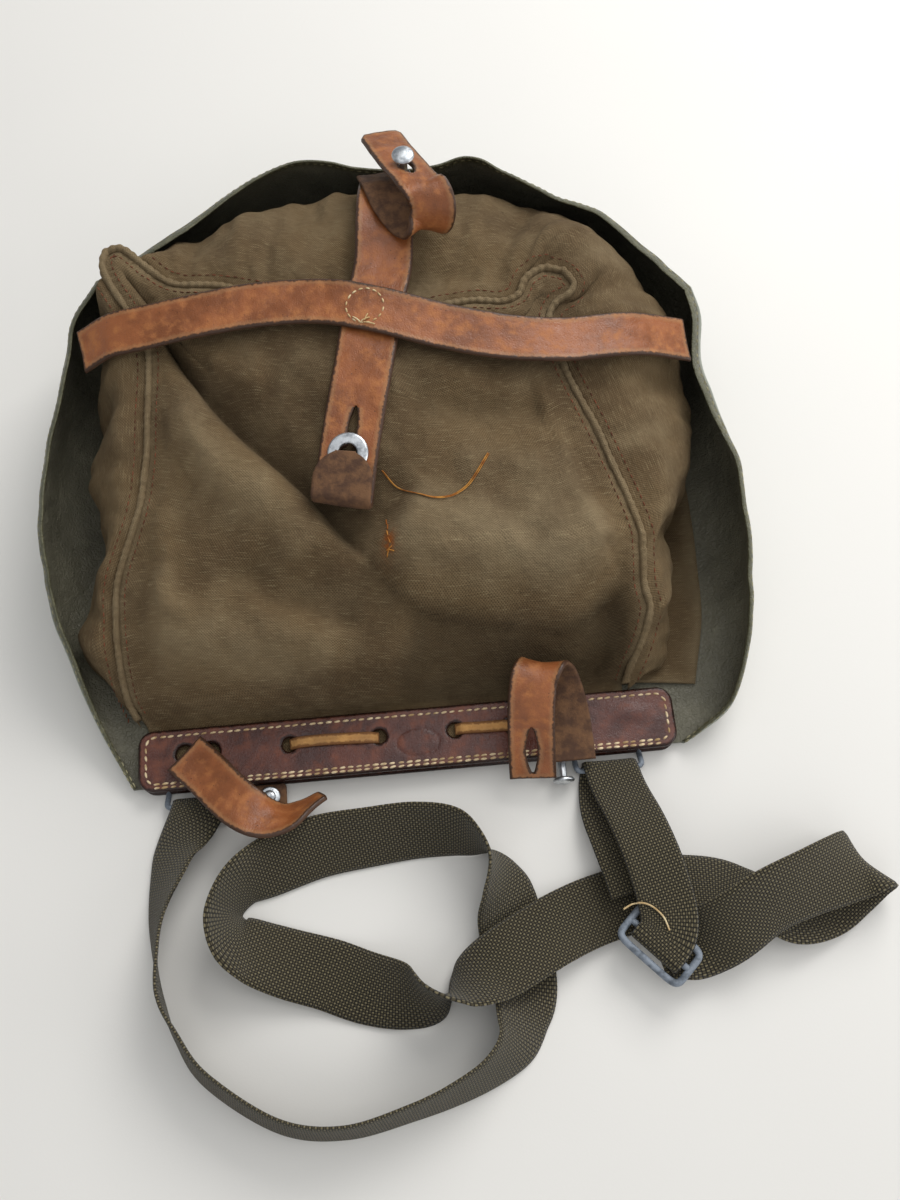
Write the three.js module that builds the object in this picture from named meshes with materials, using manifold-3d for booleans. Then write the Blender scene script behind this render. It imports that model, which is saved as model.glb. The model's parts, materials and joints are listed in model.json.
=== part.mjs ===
// Haversack lying open on the outer face of its flap: a canvas pouch, its leather yoke strip,
// straps and belt loops, metal studs, rings and slider, and a webbing sling laid in front of it.
// Millimetres. +X runs along the yoke strip, +Y from the strip to the bottom of the pouch, +Z up.
// The origin lies on the flat underside of the flap, on the strip's middle line.
import * as THREE from "three";
import * as BufferGeometryUtils from "three/addons/utils/BufferGeometryUtils.js";
import Module from "manifold-3d";

const wasm = await Module();
wasm.setup();

// Driving dimensions
const FLAP_WIDTH = 320;          // rim to rim of the flap's upturned wall
const FLAP_LENGTH = 290;         // from the strip's near edge to the rounded end
const WALL_HEIGHT = 84;          // highest point of the flap's rim
const WALL_RADIUS = 32;          // bend between the flap's floor and its wall
const FLAP_THICKNESS = 1.4;
const POUCH_DEPTH = 86;          // height of the pouch's rear seam above the floor
const CANVAS_THICKNESS = 1.5;
const SEAM_WIDTH = 3.2;          // the turned seam round the rear panel
const SEAM_HEIGHT = 4.6;
const PANEL_CROWN = 0.17;        // swell of the rear panel's middle, as a share of the pouch depth
const YOKE_LENGTH = 246;
const YOKE_WIDTH = 28;
const YOKE_THICKNESS = 3.0;
const BACKING_THICKNESS = 3.2;
const YOKE_CORNER = 7;
const YOKE_HOLE = 8.5;           // round holes at the left end of the yoke
const THONG_WIDTH = 5.5;
const THONG_THICKNESS = 1.6;
const THONG_SLOT = 6.5;
const STRAP_THICKNESS = 2.4;
const CROSS_STRAP_WIDTH = 21;
const CENTER_STRAP_WIDTH = 26;
const CLOSURE_STRAP_WIDTH = 20;
const BELT_LOOP_WIDTH = 21;
const SLIT_WIDTH = 3.0;          // buttonhole slits in the straps
const WASHER_DIAMETER = 18;
const WASHER_HOLE = 8;
const WASHER_THICKNESS = 1.5;
const STUD_HEAD = 10;
const STUD_POST = 3.6;
const RING_WIRE = 2.6;
const RING_WIDTH = 32.8;
const SLING_WIDTH = 30;
const SLING_GATHER = 0.82;       // width of the webbing in the rings and the slider, as a share
const SLING_THICKNESS = 1.6;
const SLIDER_WIDTH = 35;
const SLIDER_LENGTH = 21;
const SLIDER_WIRE = 3.2;
const GAP = 0.35;                // clearance between pieces that touch
const TRIM_GAP = 0.9;            // spare round a piece where another is cut back to clear it
const LAY_GAP = 1.2;             // clearance of a strap laid over the uneven canvas

const HALF_WIDTH = FLAP_WIDTH / 2;
const NEAR_Y = -136;             // the strip's near edge
const FAR_OF_YOKE = NEAR_Y + YOKE_WIDTH;
const FLAP_LIFT = BACKING_THICKNESS + GAP * 1.3;
const CANVAS_LIFT = FLAP_LIFT + FLAP_THICKNESS + GAP;
const YOKE_LIFT = CANVAS_LIFT + CANVAS_THICKNESS + GAP * 1.5;
const YOKE_TOP = YOKE_LIFT + YOKE_THICKNESS;

// Rim of the flap, from the near left corner round the far end to the near right corner.
// x is a share of half the flap's width, y of its length from the strip's near edge, z of the
// wall's height; out is how far the wall swells beyond the rim, as a share of the wall radius.
const RIM = {
  left: [
    { x: -0.785, y: 0.010, z: 0.020, out: 0.00 },
    { x: -0.865, y: 0.115, z: 0.190, out: 0.08 },
    { x: -0.930, y: 0.247, z: 0.480, out: 0.20 },
    { x: -0.952, y: 0.337, z: 0.650, out: 0.25 },
    { x: -0.956, y: 0.431, z: 0.710, out: 0.28 },
    { x: -0.937, y: 0.513, z: 0.740, out: 0.32 },
    { x: -0.880, y: 0.641, z: 0.800, out: 0.38 },
    { x: -0.860, y: 0.718, z: 0.830, out: 0.42 },
    { x: -0.781, y: 0.783, z: 0.870, out: 0.50 },
  ],
  far: [
    { x: -0.781, y: 0.783, z: 0.870, out: 0.50 },
    { x: -0.544, y: 0.853, z: 0.930, out: 0.62 },
    { x: -0.362, y: 0.928, z: 0.950, out: 0.56 },
    { x: -0.206, y: 0.965, z: 0.980, out: 0.44 },
    { x: -0.087, y: 0.963, z: 0.980, out: 0.38 },
    { x: 0.044, y: 0.948, z: 0.950, out: 0.38 },
    { x: 0.206, y: 0.943, z: 0.950, out: 0.38 },
    { x: 0.325, y: 0.947, z: 1.000, out: 0.38 },
    { x: 0.440, y: 0.907, z: 0.995, out: 0.46 },
    { x: 0.577, y: 0.855, z: 0.975, out: 0.54 },
    { x: 0.690, y: 0.824, z: 0.950, out: 0.58 },
    { x: 0.796, y: 0.762, z: 0.905, out: 0.58 },
    { x: 0.912, y: 0.690, z: 0.857, out: 0.56 },
  ],
  right: [
    { x: 0.912, y: 0.690, z: 0.857, out: 0.56 },
    { x: 0.920, y: 0.640, z: 0.833, out: 0.56 },
    { x: 0.905, y: 0.560, z: 0.810, out: 0.52 },
    { x: 0.930, y: 0.482, z: 0.785, out: 0.44 },
    { x: 0.980, y: 0.399, z: 0.738, out: 0.30 },
    { x: 0.992, y: 0.306, z: 0.667, out: 0.22 },
    { x: 0.980, y: 0.218, z: 0.570, out: 0.18 },
    { x: 0.965, y: 0.135, z: 0.430, out: 0.12 },
    { x: 0.919, y: 0.056, z: 0.240, out: 0.06 },
    { x: 0.838, y: 0.022, z: 0.100, out: 0.02 },
    { x: 0.790, y: 0.008, z: 0.020, out: 0.00 },
  ],
};

// Rear seam of the pouch: x and y as the rim's, z a share of the pouch depth.
const SEAM = {
  left: [
    { x: -0.745, y: 0.012, z: 0.063 },
    { x: -0.748, y: 0.092, z: 0.070 },
    { x: -0.772, y: 0.122, z: 0.150 },
    { x: -0.782, y: 0.145, z: 0.240 },
    { x: -0.783, y: 0.193, z: 0.385 },
    { x: -0.777, y: 0.248, z: 0.490 },
    { x: -0.762, y: 0.303, z: 0.560 },
    { x: -0.690, y: 0.399, z: 0.675 },
    { x: -0.660, y: 0.466, z: 0.745 },
    { x: -0.649, y: 0.538, z: 0.800 },
    { x: -0.636, y: 0.634, z: 0.860 },
    { x: -0.659, y: 0.679, z: 0.895 },
    { x: -0.693, y: 0.716, z: 0.919 },
    { x: -0.738, y: 0.760, z: 0.942 },
    { x: -0.757, y: 0.791, z: 0.953 },
    { x: -0.746, y: 0.817, z: 0.953 },
  ],
  far: [
    { x: -0.746, y: 0.817, z: 0.953 },
    { x: -0.696, y: 0.817, z: 0.965 },
    { x: -0.624, y: 0.779, z: 0.942 },
    { x: -0.552, y: 0.752, z: 0.930 },
    { x: -0.421, y: 0.736, z: 0.953 },
    { x: -0.226, y: 0.703, z: 0.977 },
    { x: -0.059, y: 0.674, z: 0.988 },
    { x: 0.108, y: 0.660, z: 0.988 },
    { x: 0.279, y: 0.669, z: 0.977 },
    { x: 0.366, y: 0.664, z: 0.977 },
    { x: 0.416, y: 0.674, z: 0.977 },
    { x: 0.441, y: 0.699, z: 0.988 },
    { x: 0.493, y: 0.717, z: 0.988 },
    { x: 0.553, y: 0.712, z: 0.977 },
  ],
  right: [
    { x: 0.553, y: 0.712, z: 0.977 },
    { x: 0.577, y: 0.689, z: 0.965 },
    { x: 0.559, y: 0.672, z: 0.953 },
    { x: 0.520, y: 0.660, z: 0.942 },
    { x: 0.497, y: 0.630, z: 0.930 },
    { x: 0.524, y: 0.554, z: 0.895 },
    { x: 0.596, y: 0.449, z: 0.826 },
    { x: 0.680, y: 0.312, z: 0.721 },
    { x: 0.688, y: 0.269, z: 0.663 },
    { x: 0.687, y: 0.221, z: 0.581 },
    { x: 0.701, y: 0.189, z: 0.512 },
    { x: 0.679, y: 0.151, z: 0.395 },
    { x: 0.646, y: 0.118, z: 0.220 },
    { x: 0.640, y: 0.092, z: 0.075 },
    { x: 0.635, y: 0.012, z: 0.063 },
  ],
};

// Swell of the gusset at the same places along the rear seam, with the same shares: the widest
// line that the canvas reaches on its way down to the front panel.
const GUSSET = {
  left: [
    { x: -0.800, y: 0.165, z: 0.130 },
    { x: -0.852, y: 0.188, z: 0.200 },
    { x: -0.872, y: 0.235, z: 0.290 },
    { x: -0.865, y: 0.310, z: 0.380 },
    { x: -0.830, y: 0.400, z: 0.440 },
    { x: -0.836, y: 0.505, z: 0.480 },
    { x: -0.822, y: 0.620, z: 0.530 },
    { x: -0.802, y: 0.700, z: 0.560 },
    { x: -0.795, y: 0.760, z: 0.590 },
    { x: -0.782, y: 0.815, z: 0.640 },
  ],
  far: [
    { x: -0.782, y: 0.815, z: 0.640 },
    { x: -0.725, y: 0.838, z: 0.720 },
    { x: -0.590, y: 0.860, z: 0.770 },
    { x: -0.450, y: 0.880, z: 0.800 },
    { x: -0.300, y: 0.902, z: 0.820 },
    { x: -0.120, y: 0.922, z: 0.835 },
    { x: 0.030, y: 0.926, z: 0.835 },
    { x: 0.200, y: 0.915, z: 0.835 },
    { x: 0.350, y: 0.896, z: 0.835 },
    { x: 0.500, y: 0.872, z: 0.830 },
    { x: 0.610, y: 0.846, z: 0.820 },
    { x: 0.700, y: 0.800, z: 0.790 },
  ],
  right: [
    { x: 0.700, y: 0.800, z: 0.790 },
    { x: 0.800, y: 0.725, z: 0.740 },
    { x: 0.868, y: 0.650, z: 0.690 },
    { x: 0.888, y: 0.570, z: 0.630 },
    { x: 0.884, y: 0.480, z: 0.560 },
    { x: 0.850, y: 0.400, z: 0.480 },
    { x: 0.800, y: 0.320, z: 0.410 },
    { x: 0.770, y: 0.240, z: 0.340 },
    { x: 0.758, y: 0.170, z: 0.240 },
    { x: 0.735, y: 0.125, z: 0.140 },
  ],
};
const GUSSET_CROWN = 0.06;       // swell between the seam and the widest line, share of pouch depth
const GUSSET_FOOT_IN = 7;        // how far the gusset's foot stands inside its widest line

// Folds of the rear panel. from and to are shares across and along the panel; height is a share
// of the pouch depth and width of the panel's half width. A step falls towards its near side.
const FOLDS = [
  { kind: "ridge", from: [0.06, 0.66], to: [0.40, 0.40], height: 0.050, width: 0.060 },
  { kind: "ridge", from: [0.10, 0.56], to: [0.42, 0.30], height: -0.055, width: 0.055 },
  { kind: "step", from: [0.40, 0.36], to: [0.62, 0.23], height: 0.080, width: 0.050 },
  { kind: "step", from: [0.62, 0.23], to: [1.00, 0.27], height: 0.120, width: 0.055 },
  { kind: "ridge", from: [0.58, 0.13], to: [0.97, 0.15], height: -0.190, width: 0.110 },
  { kind: "ridge", from: [0.05, 0.28], to: [0.40, 0.20], height: 0.060, width: 0.130 },
  { kind: "ridge", from: [0.45, 0.62], to: [0.95, 0.52], height: 0.045, width: 0.200 },
  { kind: "ridge", from: [0.10, 0.90], to: [0.30, 0.78], height: -0.035, width: 0.060 },
];

// Front panel: outline as shares, a row for each of its corners and bends.
const FRONT_OUTLINE = [
  { x: -0.790, y: 0.175 },
  { x: -0.862, y: 0.300 },
  { x: -0.835, y: 0.550 },
  { x: -0.800, y: 0.740 },
  { x: -0.560, y: 0.850 },
  { x: 0.000, y: 0.905 },
  { x: 0.500, y: 0.862 },
  { x: 0.800, y: 0.735 },
  { x: 0.900, y: 0.560 },
  { x: 0.925, y: 0.400 },
  { x: 0.905, y: 0.230 },
  { x: 0.850, y: 0.100 },
];
const FRONT_MOUTH_Y = 0.100;     // the hemmed mouth edge, share of the flap's length

// Straps. x, y and z are shares as above; across and tilt are the heading and the rise, in
// degrees, of the line across the strap.
const CROSS_STRAP = [
  { x: -0.750, y: 0.672, z: 0.895, across: 88, tilt: 12 },
  { x: -0.620, y: 0.668, z: 0.990, across: 88, tilt: 10 },
  { x: -0.470, y: 0.670, z: 1.050, across: 88, tilt: 8 },
  { x: -0.320, y: 0.672, z: 1.085, across: 88, tilt: 8 },
  { x: -0.150, y: 0.664, z: 1.115, across: 86, tilt: 8 },
  { x: 0.000, y: 0.640, z: 1.135, across: 84, tilt: 10 },
  { x: 0.190, y: 0.606, z: 1.110, across: 84, tilt: 10 },
  { x: 0.350, y: 0.585, z: 1.080, across: 86, tilt: 8 },
  { x: 0.510, y: 0.578, z: 1.045, across: 90, tilt: 4 },
  { x: 0.680, y: 0.586, z: 0.985, across: 92, tilt: 4 },
  { x: 0.800, y: 0.596, z: 0.900, across: 93, tilt: 6 },
];
const CROSS_STRAP_ENDS = { left: 0.2185, right: 0.772, drop: 0.94 };

const CENTER_STRAP = [
  { x: 0.078, y: 0.922, z: 0.860, across: -12, tilt: -14 },
  { x: 0.066, y: 0.855, z: 1.020, across: -12, tilt: -14 },
  { x: 0.058, y: 0.800, z: 1.055, across: -8, tilt: -9 },
  { x: 0.046, y: 0.735, z: 1.075, across: -6, tilt: -4 },
  { x: 0.022, y: 0.680, z: 1.085, across: -6, tilt: 0 },
  { x: -0.002, y: 0.628, z: 1.075, across: -8, tilt: 0 },
  { x: -0.030, y: 0.560, z: 1.040, across: -10, tilt: 2 },
  { x: -0.058, y: 0.500, z: 1.005, across: -12, tilt: 3 },
  { x: -0.086, y: 0.437, z: 0.965, across: -14, tilt: 4 },
  { x: -0.104, y: 0.392, z: 0.935, across: -15, tilt: 4 },
  { x: -0.114, y: 0.362, z: 0.915, across: -15, tilt: 4 },
];

// The folded tip of the centre strap, turned up over the lower half of the washer.
const CENTER_TIP_TURN = 19;
const CENTER_TIP_RADIUS = 3.2;

const CLOSURE_STRAP = [
  { x: 0.050, y: 0.915, z: 0.975, across: 2, tilt: 0 },
  { x: 0.066, y: 0.865, z: 1.110, across: 0, tilt: 0 },
  { x: 0.095, y: 0.815, z: 1.130, across: -2, tilt: 0 },
  { x: 0.140, y: 0.782, z: 1.140, across: -4, tilt: 0 },
  { x: 0.180, y: 0.768, z: 1.200, across: -4, tilt: 0 },
  { x: 0.194, y: 0.776, z: 1.300, across: -4, tilt: 0 },
  { x: 0.182, y: 0.795, z: 1.352, across: -5, tilt: 0 },
  { x: 0.158, y: 0.818, z: 1.345, across: -7, tilt: 0 },
  { x: 0.124, y: 0.866, z: 1.280, across: -8, tilt: 0 },
  { x: 0.093, y: 0.914, z: 1.215, across: -8, tilt: 0 },
  { x: 0.066, y: 0.962, z: 1.150, across: -8, tilt: 0 },
];
const CLOSURE_STUD_AT = 0.79;    // share of the closure strap's route where the post passes
const STUD_PROUD = 4.2;          // how far the post stands over the middle of the tab

// Belt loops: x from the yoke's middle and y from its near edge as shares of the yoke's length
// and width, z above the yoke's top as a share of the yoke's width.
const BELT_LOOP_LEFT = [
  { x: -0.412, y: 0.560, z: 0.080, across: 48, tilt: 0 },
  { x: -0.372, y: 0.200, z: 0.180, across: 50, tilt: 0 },
  { x: -0.336, y: -0.160, z: 0.330, across: 52, tilt: 0 },
  { x: -0.302, y: -0.450, z: 0.420, across: 58, tilt: -6 },
  { x: -0.270, y: -0.620, z: 0.400, across: 66, tilt: -22 },
  { x: -0.232, y: -0.630, z: 0.300, across: 84, tilt: -44 },
  { x: -0.196, y: -0.500, z: 0.190, across: 104, tilt: -58 },
  { x: -0.160, y: -0.320, z: 0.120, across: 116, tilt: -62 },
];

const BELT_LOOP_RIGHT = [
  { x: 0.222, y: -0.340, z: 0.060, across: -8, tilt: 0 },
  { x: 0.222, y: 0.100, z: 0.460, across: -8, tilt: 0 },
  { x: 0.226, y: 0.640, z: 0.820, across: -8, tilt: 0 },
  { x: 0.236, y: 1.080, z: 1.000, across: -8, tilt: 0 },
  { x: 0.256, y: 1.300, z: 0.860, across: -8, tilt: 0 },
  { x: 0.274, y: 1.240, z: 0.560, across: -8, tilt: 0 },
  { x: 0.288, y: 0.960, z: 0.320, across: -8, tilt: 0 },
  { x: 0.296, y: 0.600, z: 0.160, across: -6, tilt: 0 },
  { x: 0.298, y: 0.240, z: 0.090, across: -6, tilt: 0 },
  { x: 0.298, y: -0.120, z: 0.070, across: -6, tilt: 0 },
];
const LOOP_STUD_LENGTH = 9;

// Metal rings at the yoke's near edge: their middles as shares of the yoke's length.
const RING_LEFT_AT = -0.390;
const RING_RIGHT_AT = 0.368;
const RING_REACH = 7;            // how far a ring stands out of the yoke
const RING_ROOT = 10;            // how deep its legs go in under the yoke
const RING_RISE = 3.2;           // how far its bar lies above its legs

// Route of the sling on the surface that the bag lies on, from the left ring to the right ring:
// the middle of the webbing in mm from the yoke's near edge, with the heading and the rise, in
// degrees, of the line across it.
const SLING = [
  { x: -96, y: -15, z: 2.0, across: 0, tilt: 0 },
  { x: -96, y: -7.4, z: 1.9, across: 0, tilt: 0 },
  { x: -96, y: -4.0, z: 4.85, across: 0, tilt: 0 },
  { x: -96, y: -7.4, z: 7.8, across: 0, tilt: 0 },
  { x: -98.5, y: -14, z: 9.4, across: -9, tilt: 9 },
  { x: -105, y: -24, z: 9.2, across: -18, tilt: 30 },
  { x: -109, y: -35, z: 11.4, across: -15, tilt: 45 },
  { x: -114, y: -56, z: 14.2, across: -7, tilt: 66 },
  { x: -114, y: -77, z: 15.0, across: 3, tilt: 78 },
  { x: -112, y: -90, z: 15.2, across: 17, tilt: 82 },
  { x: -106, y: -104, z: 15.0, across: 29, tilt: 77 },
  { x: -94, y: -122, z: 14.8, across: 41, tilt: 74 },
  { x: -65, y: -142, z: 14.9, across: 70, tilt: 75 },
  { x: -38, y: -147, z: 15.0, across: 90, tilt: 77 },
  { x: -10, y: -142, z: 14.9, across: 106, tilt: 75 },
  { x: 10, y: -136, z: 14.6, across: 112, tilt: 70 },
  { x: 25, y: -129, z: 14.0, across: 126, tilt: 64 },
  { x: 35, y: -120, z: 12.5, across: 150, tilt: 52 },
  { x: 39, y: -108, z: 9.7, across: 166, tilt: 36 },
  { x: 41, y: -96, z: 4.6, across: 179, tilt: 14 },
  { x: 40, y: -84, z: 2.6, across: 186, tilt: 6 },
  { x: 38, y: -69, z: 4.6, across: 188, tilt: 14 },
  { x: 36, y: -54, z: 11.5, across: 196, tilt: 46 },
  { x: 31, y: -40, z: 15.6, across: 217, tilt: 86 },
  { x: 19, y: -31, z: 13.6, across: 249, tilt: 122 },
  { x: 1, y: -28, z: 11.2, across: 267, tilt: 136 },
  { x: -21, y: -29, z: 10.4, across: 273, tilt: 141 },
  { x: -43, y: -31, z: 9.6, across: 279, tilt: 146 },
  { x: -63, y: -37, z: 10.4, across: 292, tilt: 142 },
  { x: -77, y: -44, z: 13.4, across: 315, tilt: 122 },
  { x: -85, y: -56, z: 14.4, across: 354, tilt: 112 },
  { x: -82, y: -67, z: 12.8, across: 395, tilt: 126 },
  { x: -73, y: -73, z: 8.6, across: 419, tilt: 150 },
  { x: -59, y: -79, z: 4.8, across: 428, tilt: 166 },
  { x: -42, y: -85, z: 2.6, across: 428, tilt: 176 },
  { x: -26, y: -92, z: 4.0, across: 430, tilt: 190 },
  { x: -9, y: -97, z: 9.2, across: 437, tilt: 212 },
  { x: 4, y: -99, z: 15.4, across: 453, tilt: 252 },
  { x: 15, y: -96, z: 16.2, across: 469, tilt: 304 },
  { x: 27, y: -90, z: 14.6, across: 476, tilt: 336 },
  { x: 39, y: -84, z: 13.0, across: 476, tilt: 350 },
  { x: 56, y: -76, z: 9.0, across: 473, tilt: 354 },
  { x: 72, y: -70, z: 4.6, across: 468, tilt: 356 },
  { x: 88, y: -66, z: 3.6, across: 463, tilt: 352 },
  { x: 104, y: -63, z: 5.4, across: 456, tilt: 343 },
  { x: 116, y: -62, z: 8.4, across: 448, tilt: 336 },
  { x: 131, y: -64, z: 9.0, across: 434, tilt: 330 },
  { x: 147, y: -71, z: 9.3, across: 426, tilt: 326 },
  { x: 161, y: -77, z: 6.1, across: 443, tilt: 340 },
  { x: 176, y: -75, z: 3.1, across: 466, tilt: 352 },
  { x: 188, y: -68, z: 2.4, across: 486, tilt: 359 },
  { x: 195, y: -63, z: 4.6, across: 492, tilt: 362 },
  { x: 197, y: -61, z: 9.0, across: 494, tilt: 364 },
  { x: 192, y: -60, z: 15.0, across: 492, tilt: 369 },
  { x: 180, y: -63, z: 20.0, across: 485, tilt: 379 },
  { x: 166, y: -67, z: 23.4, across: 479, tilt: 386 },
  { x: 148, y: -73, z: 24.4, across: 478, tilt: 388 },
  { x: 131, y: -82, z: 20.4, across: 478, tilt: 380 },
  { x: 118, y: -87, z: 11.8, across: 484, tilt: 362 },
  { x: 109, y: -87.6, z: 11.0, across: 489, tilt: 360 },
  { x: 102.6, y: -87.2, z: 11.5, across: 492, tilt: 360 },
  { x: 98.8, y: -87.6, z: 12.0, across: 493, tilt: 360 },
  { x: 97.1, y: -88.7, z: 13.2, across: 493, tilt: 360 },
  { x: 96.7, y: -89.1, z: 15.0, across: 493, tilt: 360 },
  { x: 97.1, y: -88.7, z: 16.8, across: 493, tilt: 360 },
  { x: 98.8, y: -87.1, z: 17.9, across: 493, tilt: 360 },
  { x: 103.5, y: -82, z: 18.3, across: 498, tilt: 360 },
  { x: 105, y: -74, z: 19.6, across: 514, tilt: 360 },
  { x: 103.5, y: -62, z: 21.4, across: 530, tilt: 360 },
  { x: 100.8, y: -48, z: 21.8, across: 536, tilt: 360 },
  { x: 97.2, y: -33, z: 18.2, across: 540, tilt: 360 },
  { x: 93, y: -18, z: 11.2, across: 540, tilt: 360 },
  { x: 91, y: -7.6, z: 7.8, across: 540, tilt: 360 },
  { x: 90.6, y: -4.0, z: 4.85, across: 540, tilt: 360 },
  { x: 90.2, y: -7.4, z: 1.9, across: 540, tilt: 360 },
  { x: 88, y: -15, z: 2.4, across: 540, tilt: 360 },
  { x: 87, y: -27, z: 6.4, across: 538, tilt: 360 },
  { x: 89.5, y: -41, z: 10.6, across: 536, tilt: 360 },
  { x: 92.5, y: -54, z: 12.4, across: 534, tilt: 360 },
  { x: 94.5, y: -63, z: 12.2, across: 532, tilt: 360 },
];
// Shares of the route: the webbing is gathered before left and after right, over a length.
const GATHERED = { left: 0.05, right: 0.77, over: 0.05 };
const SLING_STEPS = 2;           // sections of webbing between two rows of its route
// The rings' places that the route was laid for, and the shares of it that move with each ring.
const LAID_FOR = { left: -95.94, right: 90.528 };
const MOVES_WITH = { leftTo: 0.25, rightFrom: 0.4, rightTo: 0.7 };

// Slider: the middle of its middle bar, its height and the heading of its bars.
const SLIDER = { x: 100, y: -86, z: 15, along: -47 };

// How far each ring stands from where the sling's route was laid for it.
const LEFT_SHIFT = RING_LEFT_AT * YOKE_LENGTH - LAID_FOR.left;
const RIGHT_SHIFT = RING_RIGHT_AT * YOKE_LENGTH - LAID_FOR.right;

const UP = new THREE.Vector3(0, 0, 1);
const radians = THREE.MathUtils.degToRad;

// A place given in shares of the bag's sizes, height in shares of the given depth.
function place(row, depth) {
  return new THREE.Vector3(row.x * HALF_WIDTH, NEAR_Y + row.y * FLAP_LENGTH, row.z * depth);
}

// Catmull-Rom value through equally spaced rows of numbers, t from 0 to 1.
function smooth(values, t) {
  const spans = values.length - 1;
  const at = Math.min(Math.max(t, 0), 1) * spans;
  const i = Math.min(Math.floor(at), spans - 1);
  const f = at - i;
  const a = values[Math.max(i - 1, 0)];
  const b = values[i];
  const c = values[i + 1];
  const d = values[Math.min(i + 2, spans)];
  return 0.5 * (2 * b + (c - a) * f + (2 * a - 5 * b + 4 * c - d) * f * f
    + (3 * b - a - 3 * c + d) * f * f * f);
}

// A side given by rows, read by the length along it: t from 0 to 1, every column smoothed.
function sideReader(rows, depth) {
  const points = rows.map((row) => place(row, depth));
  const lengths = [0];
  for (let i = 1; i < points.length; i += 1) {
    lengths.push(lengths[i - 1] + points[i].distanceTo(points[i - 1]));
  }
  const total = lengths[lengths.length - 1];
  const outs = rows.map((row) => row.out || 0);
  return (t) => {
    const wanted = t * total;
    let i = 0;
    while (i < rows.length - 2 && lengths[i + 1] < wanted) i += 1;
    const share = (i + (wanted - lengths[i]) / (lengths[i + 1] - lengths[i])) / (rows.length - 1);
    return {
      point: new THREE.Vector3(
        smooth(points.map((p) => p.x), share),
        smooth(points.map((p) => p.y), share),
        smooth(points.map((p) => p.z), share),
      ),
      out: smooth(outs, share),
    };
  };
}

// Three sides joined: s from 0 to 1/4 runs up the left, to 3/4 along the far side, then back.
function loopReader(table, depth) {
  const left = sideReader(table.left, depth);
  const far = sideReader(table.far, depth);
  const right = sideReader(table.right, depth);
  return (s) => {
    if (s < 0.25) return left(s * 4);
    if (s < 0.75) return far((s - 0.25) * 2);
    return right((s - 0.75) * 4);
  };
}

function smoothstep(t) {
  const f = Math.min(Math.max(t, 0), 1);
  return f * f * (3 - 2 * f);
}

// A closed solid between two grids of points, made of the two faces and the rim between them.
function slab(lower, upper) {
  const rows = lower.length;
  const columns = lower[0].length;
  const positions = [];
  for (const grid of [lower, upper]) {
    for (const row of grid) for (const p of row) positions.push(p.x, p.y, p.z);
  }
  const at = (level, i, j) => (level * rows + i) * columns + j;
  const faces = [];
  const quad = (a, b, c, d) => faces.push(a, b, c, a, c, d);
  for (let i = 0; i < rows - 1; i += 1) {
    for (let j = 0; j < columns - 1; j += 1) {
      quad(at(1, i, j), at(1, i + 1, j), at(1, i + 1, j + 1), at(1, i, j + 1));
      quad(at(0, i, j), at(0, i, j + 1), at(0, i + 1, j + 1), at(0, i + 1, j));
    }
  }
  for (let i = 0; i < rows - 1; i += 1) {
    quad(at(0, i, 0), at(0, i + 1, 0), at(1, i + 1, 0), at(1, i, 0));
    quad(at(1, i, columns - 1), at(1, i + 1, columns - 1), at(0, i + 1, columns - 1), at(0, i, columns - 1));
  }
  for (let j = 0; j < columns - 1; j += 1) {
    quad(at(1, 0, j), at(1, 0, j + 1), at(0, 0, j + 1), at(0, 0, j));
    quad(at(0, rows - 1, j), at(0, rows - 1, j + 1), at(1, rows - 1, j + 1), at(1, rows - 1, j));
  }
  const geometry = new THREE.BufferGeometry();
  geometry.setAttribute("position", new THREE.Float32BufferAttribute(positions, 3));
  geometry.setIndex(faces);
  return facingOut(geometry);
}

// The same solid with its faces turned outwards, by the sign of the volume that they enclose.
function facingOut(geometry) {
  const p = geometry.getAttribute("position");
  const index = geometry.getIndex();
  const corner = [new THREE.Vector3(), new THREE.Vector3(), new THREE.Vector3()];
  let volume = 0;
  for (let i = 0; i < index.count; i += 3) {
    corner.forEach((c, k) => c.fromBufferAttribute(p, index.getX(i + k)));
    volume += corner[0].dot(corner[1].clone().cross(corner[2]));
  }
  if (volume < 0) {
    for (let i = 0; i < index.count; i += 3) {
      const kept = index.getX(i);
      index.setX(i, index.getX(i + 1));
      index.setX(i + 1, kept);
    }
  }
  return geometry;
}

// Unit normals of a grid of points from the differences to its neighbours, turned to side.
function gridNormals(grid, side) {
  const last = grid.length - 1;
  const end = grid[0].length - 1;
  return grid.map((row, i) => row.map((_, j) => {
    const along = grid[Math.min(i + 1, last)][j].clone().sub(grid[Math.max(i - 1, 0)][j]);
    const across = grid[i][Math.min(j + 1, end)].clone().sub(grid[i][Math.max(j - 1, 0)]);
    return along.cross(across).normalize().multiplyScalar(side);
  }));
}

// A sheet of even thickness on a grid of points; side is 1 or -1 for where the thickness goes.
function sheet(grid, thickness, side) {
  const normals = gridNormals(grid, side);
  const other = grid.map((row, i) => row.map((p, j) => p.clone().addScaledVector(normals[i][j], thickness)));
  return slab(grid, other);
}

// The space of such a sheet with some spare on both faces.
function sheetSpace(grid, thickness, side, spare) {
  const normals = gridNormals(grid, side);
  const moved = (way) => grid.map((row, i) => row.map(
    (p, j) => p.clone().addScaledVector(normals[i][j], way),
  ));
  return slab(moved(-spare), moved(thickness + spare));
}

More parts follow.
